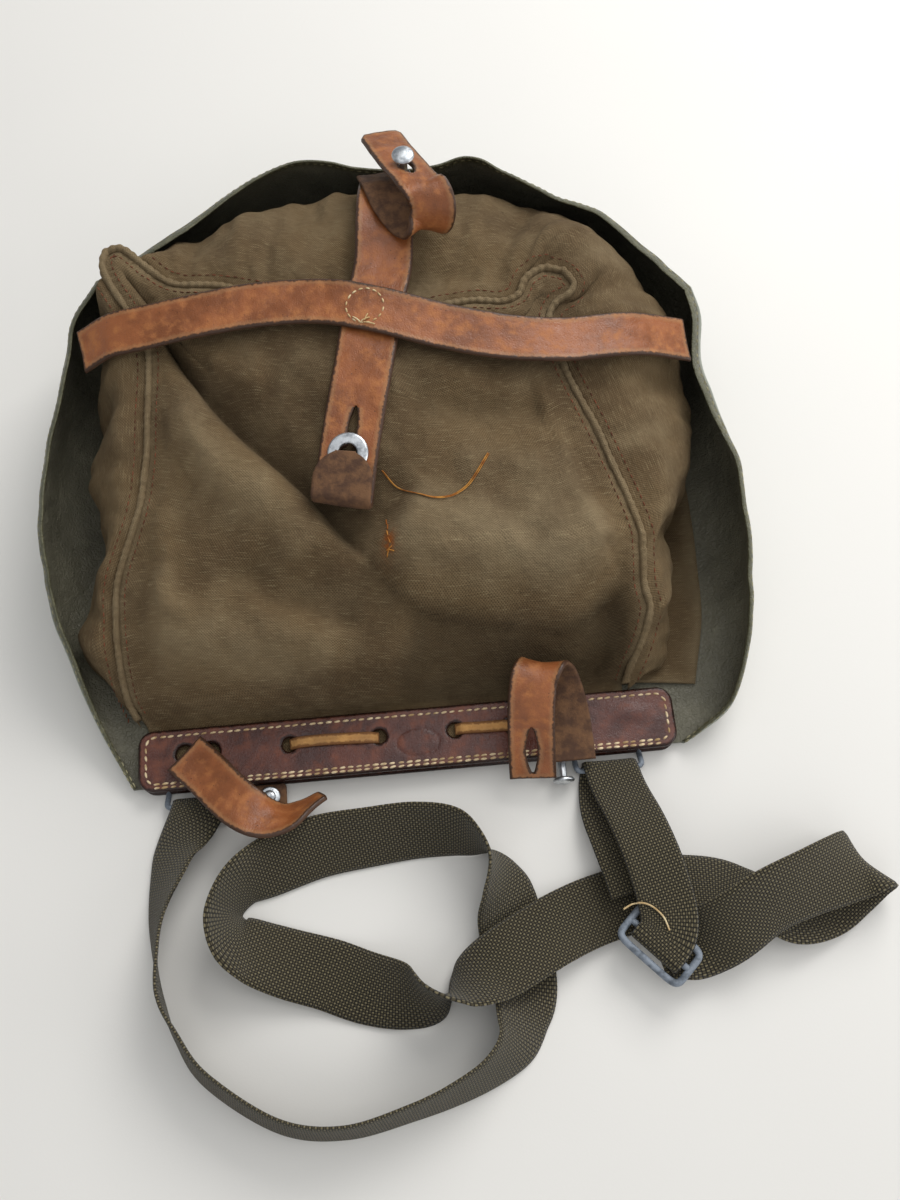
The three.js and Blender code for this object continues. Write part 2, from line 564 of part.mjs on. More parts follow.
// Places on a half square: ring 0 is the middle of the near side, the outermost ring runs round
// the other three sides. make gets the ring and how far round it the place lies, from 0 to 1.
function halfSquareGrid(rings, make) {
  const grid = [];
  for (let j = 0; j <= rings; j += 1) {
    const row = [];
    for (let i = -rings; i <= rings; i += 1) {
      const ring = Math.max(Math.abs(i), j);
      let s = 0.5;
      if (ring > 0 && i === -ring) s = 0.25 * (j / ring);
      else if (ring > 0 && i === ring) s = 1 - 0.25 * (j / ring);
      else if (ring > 0) s = 0.25 + 0.25 * ((i + ring) / ring);
      row.push(make(ring, s));
    }
    grid.push(row);
  }
  return grid;
}

// Flap: a floor that bends up into a wall, which swells out and leans back in to the rim.
const rimAt = loopReader(RIM, WALL_HEIGHT);
const FLAP_HEART = new THREE.Vector3(0, NEAR_Y + GAP * 4, 0);
const FLOOR_RINGS = [0, 0.12, 0.3, 0.5, 0.72, 0.9, 1];
const WALL_RINGS = 9;
const LIFT_HOLD = 26;            // how far past the yoke the flap stays lifted on its backing
const LIFT_FALL = 44;            // and over what length it sinks to the floor
const WALL_LEAN = 1.1;           // radians that the wall turns in above its widest line
const BELLY = 0.46;              // height of the widest line as a share of the rim's height

function flapLift(y) {
  return FLAP_LIFT * (1 - smoothstep((y - FAR_OF_YOKE - LIFT_HOLD) / LIFT_FALL));
}

function wallShape(s) {
  const { point, out } = rimAt(s);
  const direction = point.clone().sub(FLAP_HEART).setZ(0);
  const rim = direction.length();
  direction.normalize();
  const height = point.z;
  const radius = WALL_RADIUS * Math.min(1, height / (0.55 * WALL_HEIGHT));
  const widest = rim + out * WALL_RADIUS;
  return { direction, rim, height, radius, widest, belly: BELLY * height };
}

function flapPoint(s, floorShare, wallShare) {
  const w = wallShape(s);
  let reach = (w.widest - w.radius) * floorShare;
  let z = 0;
  if (wallShare > 0.5) {
    const turn = (wallShare - 0.5) * 2 * WALL_LEAN;
    reach = w.widest - (w.widest - w.rim) * (1 - Math.cos(turn)) / (1 - Math.cos(WALL_LEAN));
    z = w.belly + (w.height - w.belly) * Math.sin(turn) / Math.sin(WALL_LEAN);
  } else if (wallShare > 0) {
    reach += w.radius * Math.sin(wallShare * Math.PI);
    z = w.belly * (1 - Math.cos(wallShare * Math.PI));
  }
  const p = FLAP_HEART.clone().addScaledVector(w.direction, reach);
  return p.setZ(z + flapLift(p.y));
}

function flapGrid() {
  const floorRings = FLOOR_RINGS.length - 1;
  const grid = halfSquareGrid(floorRings + WALL_RINGS, (ring, s) => {
    if (ring <= floorRings) return flapPoint(s, FLOOR_RINGS[ring], 0);
    return flapPoint(s, 1, (ring - floorRings) / WALL_RINGS);
  });
  return grid;
}

// The farthest that a place at height z may lie from the heart and stay inside the wall.
function wallReach(w, z) {
  if (z <= w.belly) return w.widest - w.radius * (1 - Math.sqrt(1 - (1 - Math.max(z, 0) / w.belly) ** 2));
  const turn = Math.asin(Math.min((z - w.belly) / (w.height - w.belly), 1) * Math.sin(WALL_LEAN));
  return w.widest - (w.widest - w.rim) * (1 - Math.cos(turn)) / (1 - Math.cos(WALL_LEAN));
}

// Moves a place towards the heart until it stands clear of the wall's inner face.
const FLAP_FAN = Array.from({ length: 361 }, (_, i) => wallShape(i / 360));
function insideWall(p, clearance) {
  const aside = p.clone().sub(FLAP_HEART).setZ(0);
  const heading = Math.atan2(Math.max(aside.y, 0), aside.x);
  const headingOf = ({ direction }) => Math.atan2(Math.max(direction.y, 0), direction.x);
  const w = FLAP_FAN.find((shape) => headingOf(shape) <= heading);
  const wall = w || FLAP_FAN[FLAP_FAN.length - 1];
  const slant = 1 + 1.4 * smoothstep(p.z / wall.height);
  const most = wallReach(wall, p.z) - FLAP_THICKNESS * slant - clearance;
  const reach = aside.length();
  if (reach > most) p.addScaledVector(aside.normalize(), most - reach);
  return p;
}

// Height of the first of these solids met below a place, from the given height down.
function topOf(meshes, x, y, from = WALL_HEIGHT * 4) {
  const caster = new THREE.Raycaster(new THREE.Vector3(x, y, from), new THREE.Vector3(0, 0, -1));
  const hits = caster.intersectObjects(meshes, false);
  return hits.length ? hits[0].point.z : 0;
}

// The same for a small patch round the place.
const LOW = WALL_HEIGHT * 0.3;   // a height under the wall's lean and over the floor
function topAround(meshes, x, y, spread, from = LOW) {
  const ways = [[0, 0], [1, 0], [-1, 0], [0, 1], [0, -1]];
  return Math.max(...ways.map(([a, b]) => topOf(meshes, x + a * spread, y + b * spread, from)));
}

// Rear panel: a patch hung between the seam's three sides and the yoke, crowned and folded.
const SEAM_LEFT = sideReader(SEAM.left, POUCH_DEPTH);
const SEAM_FAR = sideReader(SEAM.far, POUCH_DEPTH);
const SEAM_RIGHT = sideReader(SEAM.right, POUCH_DEPTH);
const SEAM_INSET = SEAM_WIDTH / 2 + GAP * 2.4;
const PANEL_COLUMNS = 20;
const PANEL_ROWS = 20;
const UNDER_YOKE = CANVAS_LIFT + CANVAS_THICKNESS;
const YOKE_HOLD = 4.5;           // how far past the yoke the canvas keeps to its place
const YOKE_RELEASE = 8;          // length over which the canvas leaves its place under the yoke

// The seam moved aside in plan: a positive way is out of the panel, a negative one into it.
function seamAside(reader, t, way) {
  const step = 0.01;
  const a = reader(Math.max(t - step, 0)).point;
  const b = reader(Math.min(t + step, 1)).point;
  const heading = b.clone().sub(a).setZ(0).normalize();
  return reader(t).point.add(new THREE.Vector3(-heading.y, heading.x, 0).multiplyScalar(way));
}

// Canvas near the yoke keeps to its place in the stack of layers.
function holdUnderYoke(p) {
  const hold = 1 - smoothstep((p.y - FAR_OF_YOKE - YOKE_HOLD) / YOKE_RELEASE);
  p.z += (UNDER_YOKE - p.z) * hold;
  return p;
}

function foldHeight(u, v) {
  let height = 0;
  for (const fold of FOLDS) {
    const ax = fold.to[0] - fold.from[0];
    const ay = fold.to[1] - fold.from[1];
    const length = Math.hypot(ax, ay);
    const along = ((u - fold.from[0]) * ax + (v - fold.from[1]) * ay) / (length * length);
    const aside = ((v - fold.from[1]) * ax - (u - fold.from[0]) * ay) / length;
    const fade = smoothstep((along + 0.15) / 0.3) * smoothstep((1.15 - along) / 0.3);
    if (fold.kind === "ridge") {
      height += fold.height * fade * Math.exp(-((aside / fold.width) ** 2));
    } else {
      const rise = smoothstep((aside / fold.width + 1) / 2);
      height += fold.height * fade * rise * Math.exp(-Math.max(aside, 0) * 3.2);
    }
  }
  return height;
}

function panelPoint(u, v) {
  const left = seamAside(SEAM_LEFT, v, -SEAM_INSET);
  const right = seamAside(SEAM_RIGHT, 1 - v, -SEAM_INSET);
  const far = seamAside(SEAM_FAR, u, -SEAM_INSET);
  const nearLeft = seamAside(SEAM_LEFT, 0, -SEAM_INSET);
  const nearRight = seamAside(SEAM_RIGHT, 1, -SEAM_INSET);
  const farLeft = seamAside(SEAM_LEFT, 1, -SEAM_INSET);
  const farRight = seamAside(SEAM_RIGHT, 0, -SEAM_INSET);
  const p = left.multiplyScalar(1 - u).addScaledVector(right, u);
  p.addScaledVector(nearLeft, (1 - v) * (1 - u)).addScaledVector(nearRight, (1 - v) * u);
  p.addScaledVector(far, v);
  p.addScaledVector(nearLeft, -(1 - u) * (1 - v)).addScaledVector(nearRight, -u * (1 - v));
  p.addScaledVector(farLeft, -(1 - u) * v).addScaledVector(farRight, -u * v);
  const edge = Math.sin(Math.PI * u) ** 0.7;
  const nearRise = 0.3 + 0.8 * smoothstep((u - 0.42) / 0.3);
  const swell = PANEL_CROWN * edge * v ** nearRise * (1 - v) ** 0.55 * 1.9;
  const fade = smoothstep(u / 0.12) * smoothstep((1 - u) / 0.12)
    * smoothstep(v / 0.06) * smoothstep((1 - v) / 0.1);
  p.z += POUCH_DEPTH * (swell + foldHeight(u, v) * fade);
  return holdUnderYoke(p);
}

function panelGrid() {
  const grid = [];
  for (let j = 0; j <= PANEL_ROWS; j += 1) {
    const v = (j / PANEL_ROWS) ** 1.25;
    grid.push(Array.from({ length: PANEL_COLUMNS + 1 }, (_, i) => panelPoint(i / PANEL_COLUMNS, v)));
  }
  return grid;
}

// Seam: a low raised band carried round the rear panel's edge, from yoke to yoke.
const seamAt = loopReader(SEAM, POUCH_DEPTH);
const SEAM_STEPS = 76;
const SEAM_FOOT = 0.22;          // how far the band reaches below the canvas, share of its height
const SEAM_CLEAR = 2.4;          // how far from the yoke it ends
const SEAM_END_SPARE = 0.004;    // share of its length left free at its ends, per mm of spare

function seamEnd(from, step) {
  let s = from;
  while (seamAt(s).point.y < FAR_OF_YOKE + SEAM_CLEAR) s += step;
  return s;
}
const SEAM_FROM = seamEnd(0, 0.002);
const SEAM_TO = seamEnd(1, -0.002);

function seamRidge(spare = 0) {
  const side = 0.5 + spare / SEAM_WIDTH;
  const foot = SEAM_FOOT + spare / SEAM_HEIGHT;
  const crest = 0.5 + spare / SEAM_HEIGHT;
  const low = [[-side, -foot], [side, -foot]];
  const high = [[-side + 0.16, crest], [side - 0.16, crest]];
  const lower = [];
  const upper = [];
  for (let i = 0; i <= SEAM_STEPS; i += 1) {
    const from = SEAM_FROM - spare * SEAM_END_SPARE;
    const s = from + (SEAM_TO + spare * SEAM_END_SPARE - from) * (i / SEAM_STEPS);
    const p = seamAt(s).point;
    const ahead = seamAt(s + 0.004).point;
    const behind = seamAt(s - 0.004).point;
    const heading = ahead.sub(behind).setZ(0).normalize();
    const aside = new THREE.Vector3(-heading.y, heading.x, 0);
    const at = ([across, up]) => p.clone().addScaledVector(aside, across * SEAM_WIDTH)
      .addScaledVector(UP, up * SEAM_HEIGHT);
    lower.push(low.map(at));
    upper.push(high.map(at));
  }
  return slab(lower, upper);
}

// Gusset: from the seam over the swell to a foot on the front panel.
const swellAt = loopReader(GUSSET, POUCH_DEPTH);
const GUSSET_STEPS = 52;
const GUSSET_ROWS = 7;
const GUSSET_CLEAR = 1.6;        // least space between the gusset and the flap's wall

function gussetPoint(s, t) {
  const reader = s < 0.25 ? SEAM_LEFT : (s < 0.75 ? SEAM_FAR : SEAM_RIGHT);
  const local = s < 0.25 ? s * 4 : (s < 0.75 ? (s - 0.25) * 2 : (s - 0.75) * 4);
  const top = seamAside(reader, local, SEAM_INSET);
  const clear = GUSSET_CLEAR + CANVAS_THICKNESS;
  const wide = insideWall(swellAt((s - SEAM_FROM) / (SEAM_TO - SEAM_FROM)).point, clear);
  const outward = wide.clone().sub(top).setZ(0);
  if (outward.length() < 1) outward.copy(wide).sub(FLAP_HEART).setZ(0);
  outward.normalize();
  const foot = wide.clone().addScaledVector(outward, -GUSSET_FOOT_IN);
  foot.z = topAround(floor, foot.x, foot.y, 3.5) + GAP * 6;
  const crown = top.clone().lerp(wide, 0.5);
  crown.z = Math.max(top.z, wide.z) * 0.5 + (top.z + wide.z) * 0.25 + GUSSET_CROWN * POUCH_DEPTH;
  const belly = wide.clone().lerp(foot, 0.45).addScaledVector(outward, GUSSET_FOOT_IN * 0.8);
  const rows = [top, crown, wide, belly, foot];
  return insideWall(new THREE.Vector3(
    smooth(rows.map((p) => p.x), t),
    smooth(rows.map((p) => p.y), t),
    smooth(rows.map((p) => p.z), t),
  ), clear);
}

function gussetGrid() {
  const grid = [];
  for (let i = 0; i <= GUSSET_STEPS; i += 1) {
    const s = SEAM_FROM + (SEAM_TO - SEAM_FROM) * (i / GUSSET_STEPS);
    grid.push(Array.from({ length: GUSSET_ROWS + 1 }, (_, j) => gussetPoint(s, j / GUSSET_ROWS)));
  }
  return grid;
}

// Front panel: the sheet that lies on the flap's floor, with its mouth edge towards the yoke.
const FRONT_RINGS = 7;
const FRONT_HEART = 14;          // how far its mouth draws back under the rear panel in the middle
function frontPanel() {
  const outline = FRONT_OUTLINE.map((row) => place({ ...row, z: 0 }, 1));
  const heart = new THREE.Vector3(0, NEAR_Y + FRONT_MOUTH_Y * FLAP_LENGTH + FRONT_HEART, 0);
  const grid = halfSquareGrid(FRONT_RINGS, (ring, s) => {
    const edge = new THREE.Vector3(
      smooth(outline.map((p) => p.x), s),
      smooth(outline.map((p) => p.y), s),
      0,
    );
    const p = heart.clone().lerp(edge, ring / FRONT_RINGS);
    return p.setZ(topAround([flapMesh], p.x, p.y, 5) + GAP * 1.6);
  });
  return sheet(grid, CANVAS_THICKNESS, -1);
}

// A ribbon's stations: the middle, the line across it and its heading, smoothed between rows.
function ribbonStations(rows, steps, position) {
  const points = rows.map(position);
  const count = (rows.length - 1) * steps;
  const stations = [];
  for (let i = 0; i <= count; i += 1) {
    const t = i / count;
    const turn = radians(smooth(rows.map((row) => row.across), t));
    const rise = radians(smooth(rows.map((row) => row.tilt), t));
    stations.push({
      t,
      middle: new THREE.Vector3(
        smooth(points.map((p) => p.x), t),
        smooth(points.map((p) => p.y), t),
        smooth(points.map((p) => p.z), t),
      ),
      across: new THREE.Vector3(Math.cos(turn), Math.sin(turn), 0).multiplyScalar(Math.cos(rise))
        .addScaledVector(UP, Math.sin(rise)),
    });
  }
  return stations;
}

// A ribbon of the given width and thickness through its stations; share narrows it along t.
function ribbon(stations, width, thickness, share = () => 1) {
  const lower = [];
  const upper = [];
  const last = stations.length - 1;
  stations.forEach((station, i) => {
    const heading = stations[Math.min(i + 1, last)].middle.clone().sub(stations[Math.max(i - 1, 0)].middle);
    heading.normalize();
    const across = station.across.clone().addScaledVector(heading, -station.across.dot(heading)).normalize();
    const normal = heading.clone().cross(across);
    const half = (width / 2) * share(station.t);
    const edge = (side, level) => station.middle.clone().addScaledVector(across, side * half)
      .addScaledVector(normal, level * thickness / 2);
    lower.push([edge(-1, -1), edge(1, -1)]);
    upper.push([edge(-1, 1), edge(1, 1)]);
  });
  return slab(lower, upper);
}

// Lifts a ribbon's stations until it clears the solids under it, then evens out the lifts.
function layOn(stations, meshes, width, thickness) {
  const places = [-0.52, -0.35, -0.18, 0, 0.18, 0.35, 0.52];
  const lifts = stations.map(({ middle, across }) => {
    const flat = Math.max(Math.hypot(across.x, across.y), 0.5);
    const floor = Math.max(...places.map((share) => {
      const x = middle.x + across.x * width * share;
      const y = middle.y + across.y * width * share;
      return topOf(meshes, x, y) - across.z * width * share;
    }));
    return Math.max(0, floor + LAY_GAP + (thickness / 2) / flat - middle.z);
  });
  const last = lifts.length - 1;
  const raised = lifts.map((_, i) => Math.max(...lifts.slice(Math.max(i - 2, 0), i + 3)));
  stations.forEach((station, i) => {
    station.middle.z += (raised[Math.max(i - 1, 0)] + raised[i] + raised[Math.min(i + 1, last)]) / 3;
  });
  return stations;
}

// Solid geometry to and from the boolean library.
function toManifold(geometry) {
  const bare = geometry.clone();
  bare.deleteAttribute("normal");
  bare.deleteAttribute("uv");
  const merged = BufferGeometryUtils.mergeVertices(bare, 1e-5);
  return new wasm.Manifold(new wasm.Mesh({
    numProp: 3,
    vertProperties: Float32Array.from(merged.getAttribute("position").array),
    triVerts: Uint32Array.from(merged.getIndex().array),
  }));
}

function toGeometry(manifold) {
  const mesh = manifold.getMesh();
  const geometry = new THREE.BufferGeometry();
  geometry.setAttribute("position", new THREE.BufferAttribute(Float32Array.from(mesh.vertProperties), 3));
  geometry.setIndex(new THREE.BufferAttribute(Uint32Array.from(mesh.triVerts), 1));
  return geometry;
}

function cut(geometry, tool) {
  return toGeometry(toManifold(geometry).subtract(toManifold(tool)));
}

// The same, keeping only the largest of the parts that are left.
function trim(geometry, ...tools) {
  const left = tools.reduce((solid, tool) => solid.subtract(toManifold(tool)), toManifold(geometry));
  const parts = left.decompose();
  return toGeometry(parts.reduce((a, b) => (a.volume() > b.volume() ? a : b)));
}

// A turned piece: a profile of radius and height pairs round a vertical line.
function turned(profile, sides) {
  const geometry = new THREE.LatheGeometry(profile.map(([r, h]) => new THREE.Vector2(r, h)), sides);
  return geometry.rotateX(Math.PI / 2);
}

// A stud's mushroom head on its post, standing on z = 0.
function stud(postLength) {
  const post = STUD_POST / 2;
  const head = STUD_HEAD / 2;
  const rim = postLength + head * 0.32;
  return turned([
    [0, 0], [post * 1.7, 0], [post * 1.7, 0.8], [post, 1.2], [post, postLength],
    [head * 0.86, postLength + 0.3],
    [head, rim], [head * 0.72, rim + 0.9], [head * 0.36, rim + 1.4], [0, rim + 1.55],
  ], 14);
}

// A plate with rounded corners and holes, extruded upwards from z = 0.
function plate(width, length, corner, thickness, holes = []) {
  const shape = new THREE.Shape();
  const w = width / 2;
  const l = length / 2;
  shape.moveTo(-w + corner, -l);
  shape.lineTo(w - corner, -l);
  shape.quadraticCurveTo(w, -l, w, -l + corner);
  shape.lineTo(w, l - corner);
  shape.quadraticCurveTo(w, l, w - corner, l);
  shape.lineTo(-w + corner, l);
  shape.quadraticCurveTo(-w, l, -w, l - corner);
  shape.lineTo(-w, -l + corner);
  shape.quadraticCurveTo(-w, -l, -w + corner, -l);
  for (const hole of holes) shape.holes.push(hole);
  return new THREE.ExtrudeGeometry(shape, { depth: thickness, bevelEnabled: false, curveSegments: 5 });
}

function roundHole(x, y, diameter) {
  return new THREE.Path().absarc(x, y, diameter / 2, 0, Math.PI * 2, true);
}

function boxHole(x, y, width, length) {
  const hole = new THREE.Path();
  hole.moveTo(x - width / 2, y - length / 2);
  hole.lineTo(x - width / 2, y + length / 2);
  hole.lineTo(x + width / 2, y + length / 2);
  hole.lineTo(x + width / 2, y - length / 2);
  hole.closePath();
  return hole;
}

// Thongs in the yoke: where each runs, from hole to hole, as shares of the yoke's length.
const THONGS = { left: [-0.220, -0.054], right: [0.088, 0.196] };
const THONG_LINE = 0.08;         // the thongs' line past the yoke's middle, share of its width
const YOKE_HOLES = [-0.414, -0.366];
const YOKE_MIDDLE_Y = NEAR_Y + YOKE_WIDTH / 2;

function yokeStrip() {
  const line = THONG_LINE * YOKE_WIDTH;
  const ends = [...THONGS.left, ...THONGS.right];
  const holes = ends.map((share) => roundHole(share * YOKE_LENGTH, line, THONG_SLOT + 2 * GAP));
  for (const share of YOKE_HOLES) holes.push(roundHole(share * YOKE_LENGTH, line, YOKE_HOLE));
  const strip = plate(YOKE_LENGTH, YOKE_WIDTH, YOKE_CORNER, YOKE_THICKNESS, holes);
  return strip.translate(0, YOKE_MIDDLE_Y, YOKE_LIFT);
}

// The backing under the flap's edge, with slots for the legs of the two rings.
const RING_SLOT = RING_WIRE + 2 * GAP;
function yokeBacking() {
  const backing = plate(YOKE_LENGTH, YOKE_WIDTH, YOKE_CORNER, BACKING_THICKNESS)
    .translate(0, YOKE_MIDDLE_Y, 0);
  const slots = [];
  for (const share of [RING_LEFT_AT, RING_RIGHT_AT]) {
    for (const side of [-1, 1]) {
      const slot = new THREE.BoxGeometry(RING_SLOT, RING_ROOT + GAP + 4, BACKING_THICKNESS * 3);
      const x = share * YOKE_LENGTH + side * (RING_WIDTH - RING_WIRE) / 2;
      slots.push(slot.translate(x, NEAR_Y + (RING_ROOT + GAP - 4) / 2, 0));
    }
  }
  return slots.reduce((solid, slot) => cut(solid, slot), backing);
}

function thong([from, to]) {
  const inset = THONG_SLOT * 0.1;
  const line = YOKE_MIDDLE_Y + THONG_LINE * YOKE_WIDTH;
  const over = YOKE_TOP + GAP * 1.8 + THONG_THICKNESS / 2;
  const a = from * YOKE_LENGTH;
  const b = to * YOKE_LENGTH;
  const rows = [
    { x: a, z: YOKE_LIFT + 0.6 },
    { x: a + inset, z: YOKE_TOP - 0.2 },
    { x: a + THONG_SLOT * 0.34, z: over + 0.3 },
    { x: a + THONG_SLOT * 1.6, z: over },
    { x: b - THONG_SLOT * 1.6, z: over },
    { x: b - THONG_SLOT * 0.34, z: over + 0.3 },
    { x: b - inset, z: YOKE_TOP - 0.2 },
    { x: b, z: YOKE_LIFT + 0.6 },
  ];
  const stations = rows.map((row, i) => ({
    t: i / (rows.length - 1),
    middle: new THREE.Vector3(row.x, line, row.z),
    across: new THREE.Vector3(0, 1, 0),
  }));
  return ribbon(stations, THONG_WIDTH, THONG_THICKNESS);
}

// A ring's visible part: a wire that comes out from under the yoke, along, and back in.
function ring(share) {
  const half = (RING_WIDTH - RING_WIRE) / 2;
  const x = share * YOKE_LENGTH;
  const low = GAP + RING_WIRE / 2;
  const root = NEAR_Y + RING_ROOT;
  const bar = NEAR_Y - RING_REACH;
  const high = low + RING_RISE;
  const corner = 2;
  const side = (way) => [
    new THREE.Vector3(x + way * half, root, low),
    new THREE.Vector3(x + way * half, NEAR_Y - 0.5, low),
    new THREE.Vector3(x + way * half, bar + corner, high - 0.4),
    new THREE.Vector3(x + way * (half - corner * 0.3), bar + corner * 0.3, high),
    new THREE.Vector3(x + way * (half - corner), bar, high),
  ];
  const points = [...side(-1), ...side(1).reverse()];
  return wire(points, RING_WIRE);
}

// A round wire through points, as rings of corners joined with closed ends.
function wire(points, diameter) {
  const curve = new THREE.CatmullRomCurve3(points, false, "centripetal");
  const shape = new THREE.Shape().absarc(0, 0, diameter / 2, 0, Math.PI * 2, false);
  return new THREE.ExtrudeGeometry(shape, {
    steps: points.length * 2, curveSegments: 7, extrudePath: curve, bevelEnabled: false,
  });
}

// Slider: a flat frame with a middle bar, rounded at its corners.
function slider() {
  const opening = (SLIDER_LENGTH - 3 * SLIDER_WIRE) / 2;
  const offset = (opening + SLIDER_WIRE) / 2;
  const inner = SLIDER_WIDTH - 2 * SLIDER_WIRE;
  const frame = plate(SLIDER_WIDTH, SLIDER_LENGTH, 3, SLIDER_WIRE, [
    boxHole(0, -offset, inner, opening),
    boxHole(0, offset, inner, opening),
  ]);
  frame.translate(0, 0, -SLIDER_WIRE / 2);
  frame.rotateZ(radians(SLIDER.along));
  return frame.translate(SLIDER.x + RIGHT_SHIFT, NEAR_Y + SLIDER.y, SLIDER.z);
}

// The tab and rivet beside the left belt loop.
const SNAP_TAB = { x: -0.262, width: 15, reach: 12, rivet: 9.5 };
function snapTab() {
  const tab = plate(SNAP_TAB.width, SNAP_TAB.reach, 2, STRAP_THICKNESS);
  return tab.translate(SNAP_TAB.x * YOKE_LENGTH, NEAR_Y - GAP - SNAP_TAB.reach / 2, FLAP_LIFT);
}

function snapRivet() {
  const r = SNAP_TAB.rivet / 2;
  const rivet = turned([[0, 0], [r, 0], [r, 0.7], [r * 0.6, 1.1], [r * 0.5, 1.9], [0, 2.3]], 16);
  return rivet.translate(
    SNAP_TAB.x * YOKE_LENGTH, NEAR_Y - GAP - SNAP_TAB.reach / 2, FLAP_LIFT + STRAP_THICKNESS + GAP,
  );
}

// Colours and finishes
function material(color, roughness, metalness = 0) {
  return new THREE.MeshStandardMaterial({ color, roughness, metalness, side: THREE.DoubleSide });
}
const CANVAS = () => material("#6f5d42", 0.95);
const VINYL = () => material("#55584a", 0.5);
const STRAP_LEATHER = () => material("#9a5d3c", 0.5);
const YOKE_LEATHER = () => material("#603427", 0.35);
const THONG_LEATHER = () => material("#b0803f", 0.7);
const ALUMINIUM = () => material("#c9ccd0", 0.3, 1);
const GREY_PAINT = () => material("#6f7680", 0.4);
const WEBBING = () => material("#4b4636", 0.9);

const bag = new THREE.Group();
function add(name, geometry, finish) {
  const mesh = new THREE.Mesh(geometry, finish);
  mesh.name = name;
  bag.add(mesh);
  mesh.updateMatrixWorld(true);
  return mesh;
}

const flapMesh = add("flap_shell", sheet(flapGrid(), FLAP_THICKNESS, -1), VINYL());
const flapSpace = sheetSpace(flapGrid(), FLAP_THICKNESS, -1, TRIM_GAP);
const frontSheet = frontPanel();
const floor = [flapMesh, new THREE.Mesh(frontSheet, VINYL())];
const seamSpace = seamRidge(TRIM_GAP);
const panelSheet = sheet(panelGrid(), CANVAS_THICKNESS, 1);
const panelSpace = sheetSpace(panelGrid(), CANVAS_THICKNESS, 1, TRIM_GAP);
const gussetSheet = sheet(gussetGrid(), CANVAS_THICKNESS, 1);
const gussetSpace = sheetSpace(gussetGrid(), CANVAS_THICKNESS, 1, GAP);
const gussetMesh = add("gusset", trim(gussetSheet, seamSpace, panelSpace, flapSpace), CANVAS());
const panelMesh = add("rear_panel", trim(panelSheet, seamSpace, gussetMesh.geometry), CANVAS());
const ridgeMesh = add("seam_ridge", trim(seamRidge(), gussetSpace), CANVAS());
add("front_panel", trim(frontSheet, panelSpace), CANVAS());
add("yoke_backing", yokeBacking(), YOKE_LEATHER());
add("yoke_strip", yokeStrip(), YOKE_LEATHER());
add("thong_left", thong(THONGS.left), THONG_LEATHER());
add("thong_right", thong(THONGS.right), THONG_LEATHER());

const strapPlace = (row) => place(row, POUCH_DEPTH);
const pouch = [gussetMesh, panelMesh, ridgeMesh];

// Turns a strap's end up and back over itself: a half round, then a flat end of given length.
function foldTip(stations, length, radius) {
  const end = stations[stations.length - 1];
  const heading = end.middle.clone().sub(stations[stations.length - 2].middle).normalize();
  const normal = heading.clone().cross(end.across).normalize();
  if (normal.z < 0) normal.negate();
  const start = end.middle.clone();
  for (const turn of [30, 60, 90, 120, 150, 180]) {
    const a = radians(turn);
    stations.push({
      middle: start.clone().addScaledVector(heading, radius * Math.sin(a))
        .addScaledVector(normal, radius * (1 - Math.cos(a))),
      across: end.across.clone(),
    });
  }
  for (const share of [0.3, 0.6, 0.8, 0.92, 1]) {
    stations.push({
      middle: start.clone().addScaledVector(heading, -length * share).addScaledVector(normal, radius * 2),
      across: end.across.clone(),
    });
  }
  stations.forEach((station, i) => { station.t = i / (stations.length - 1); });
  return stations;
}

// The frame of a strap at one of its stations, with the normal turned up.
function frameAt(stations, at) {
  const i = Math.round(at * (stations.length - 1));
  const heading = stations[i + 1].middle.clone().sub(stations[i - 1].middle).normalize();
  const across = stations[i].across.clone();
  across.addScaledVector(heading, -across.dot(heading)).normalize();
  const normal = heading.clone().cross(across);
  if (normal.z < 0) {
    normal.negate();
    across.negate();
  }
  return { heading, across, normal, middle: stations[i].middle.clone() };
}

function ontoStrap(geometry, frame, lift) {
  const matrix = new THREE.Matrix4().makeBasis(frame.heading, frame.across, frame.normal);
  matrix.setPosition(frame.middle.clone().addScaledVector(frame.normal, lift));
  return geometry.applyMatrix4(matrix);
}

// A slit's tool: a pointed oval through a strap, long along the strap.
function slitTool(frame, length, width, ahead = 0, aside = 0) {
  const shape = new THREE.Shape();
  shape.moveTo(ahead - length / 2, aside);
  shape.quadraticCurveTo(ahead, aside - width, ahead + length / 2, aside);
  shape.quadraticCurveTo(ahead, aside + width, ahead - length / 2, aside);
  const depth = STRAP_THICKNESS * 2;
  const tool = new THREE.ExtrudeGeometry(shape, { depth, bevelEnabled: false, curveSegments: 4 });
  return ontoStrap(tool, frame, -depth / 2);
}

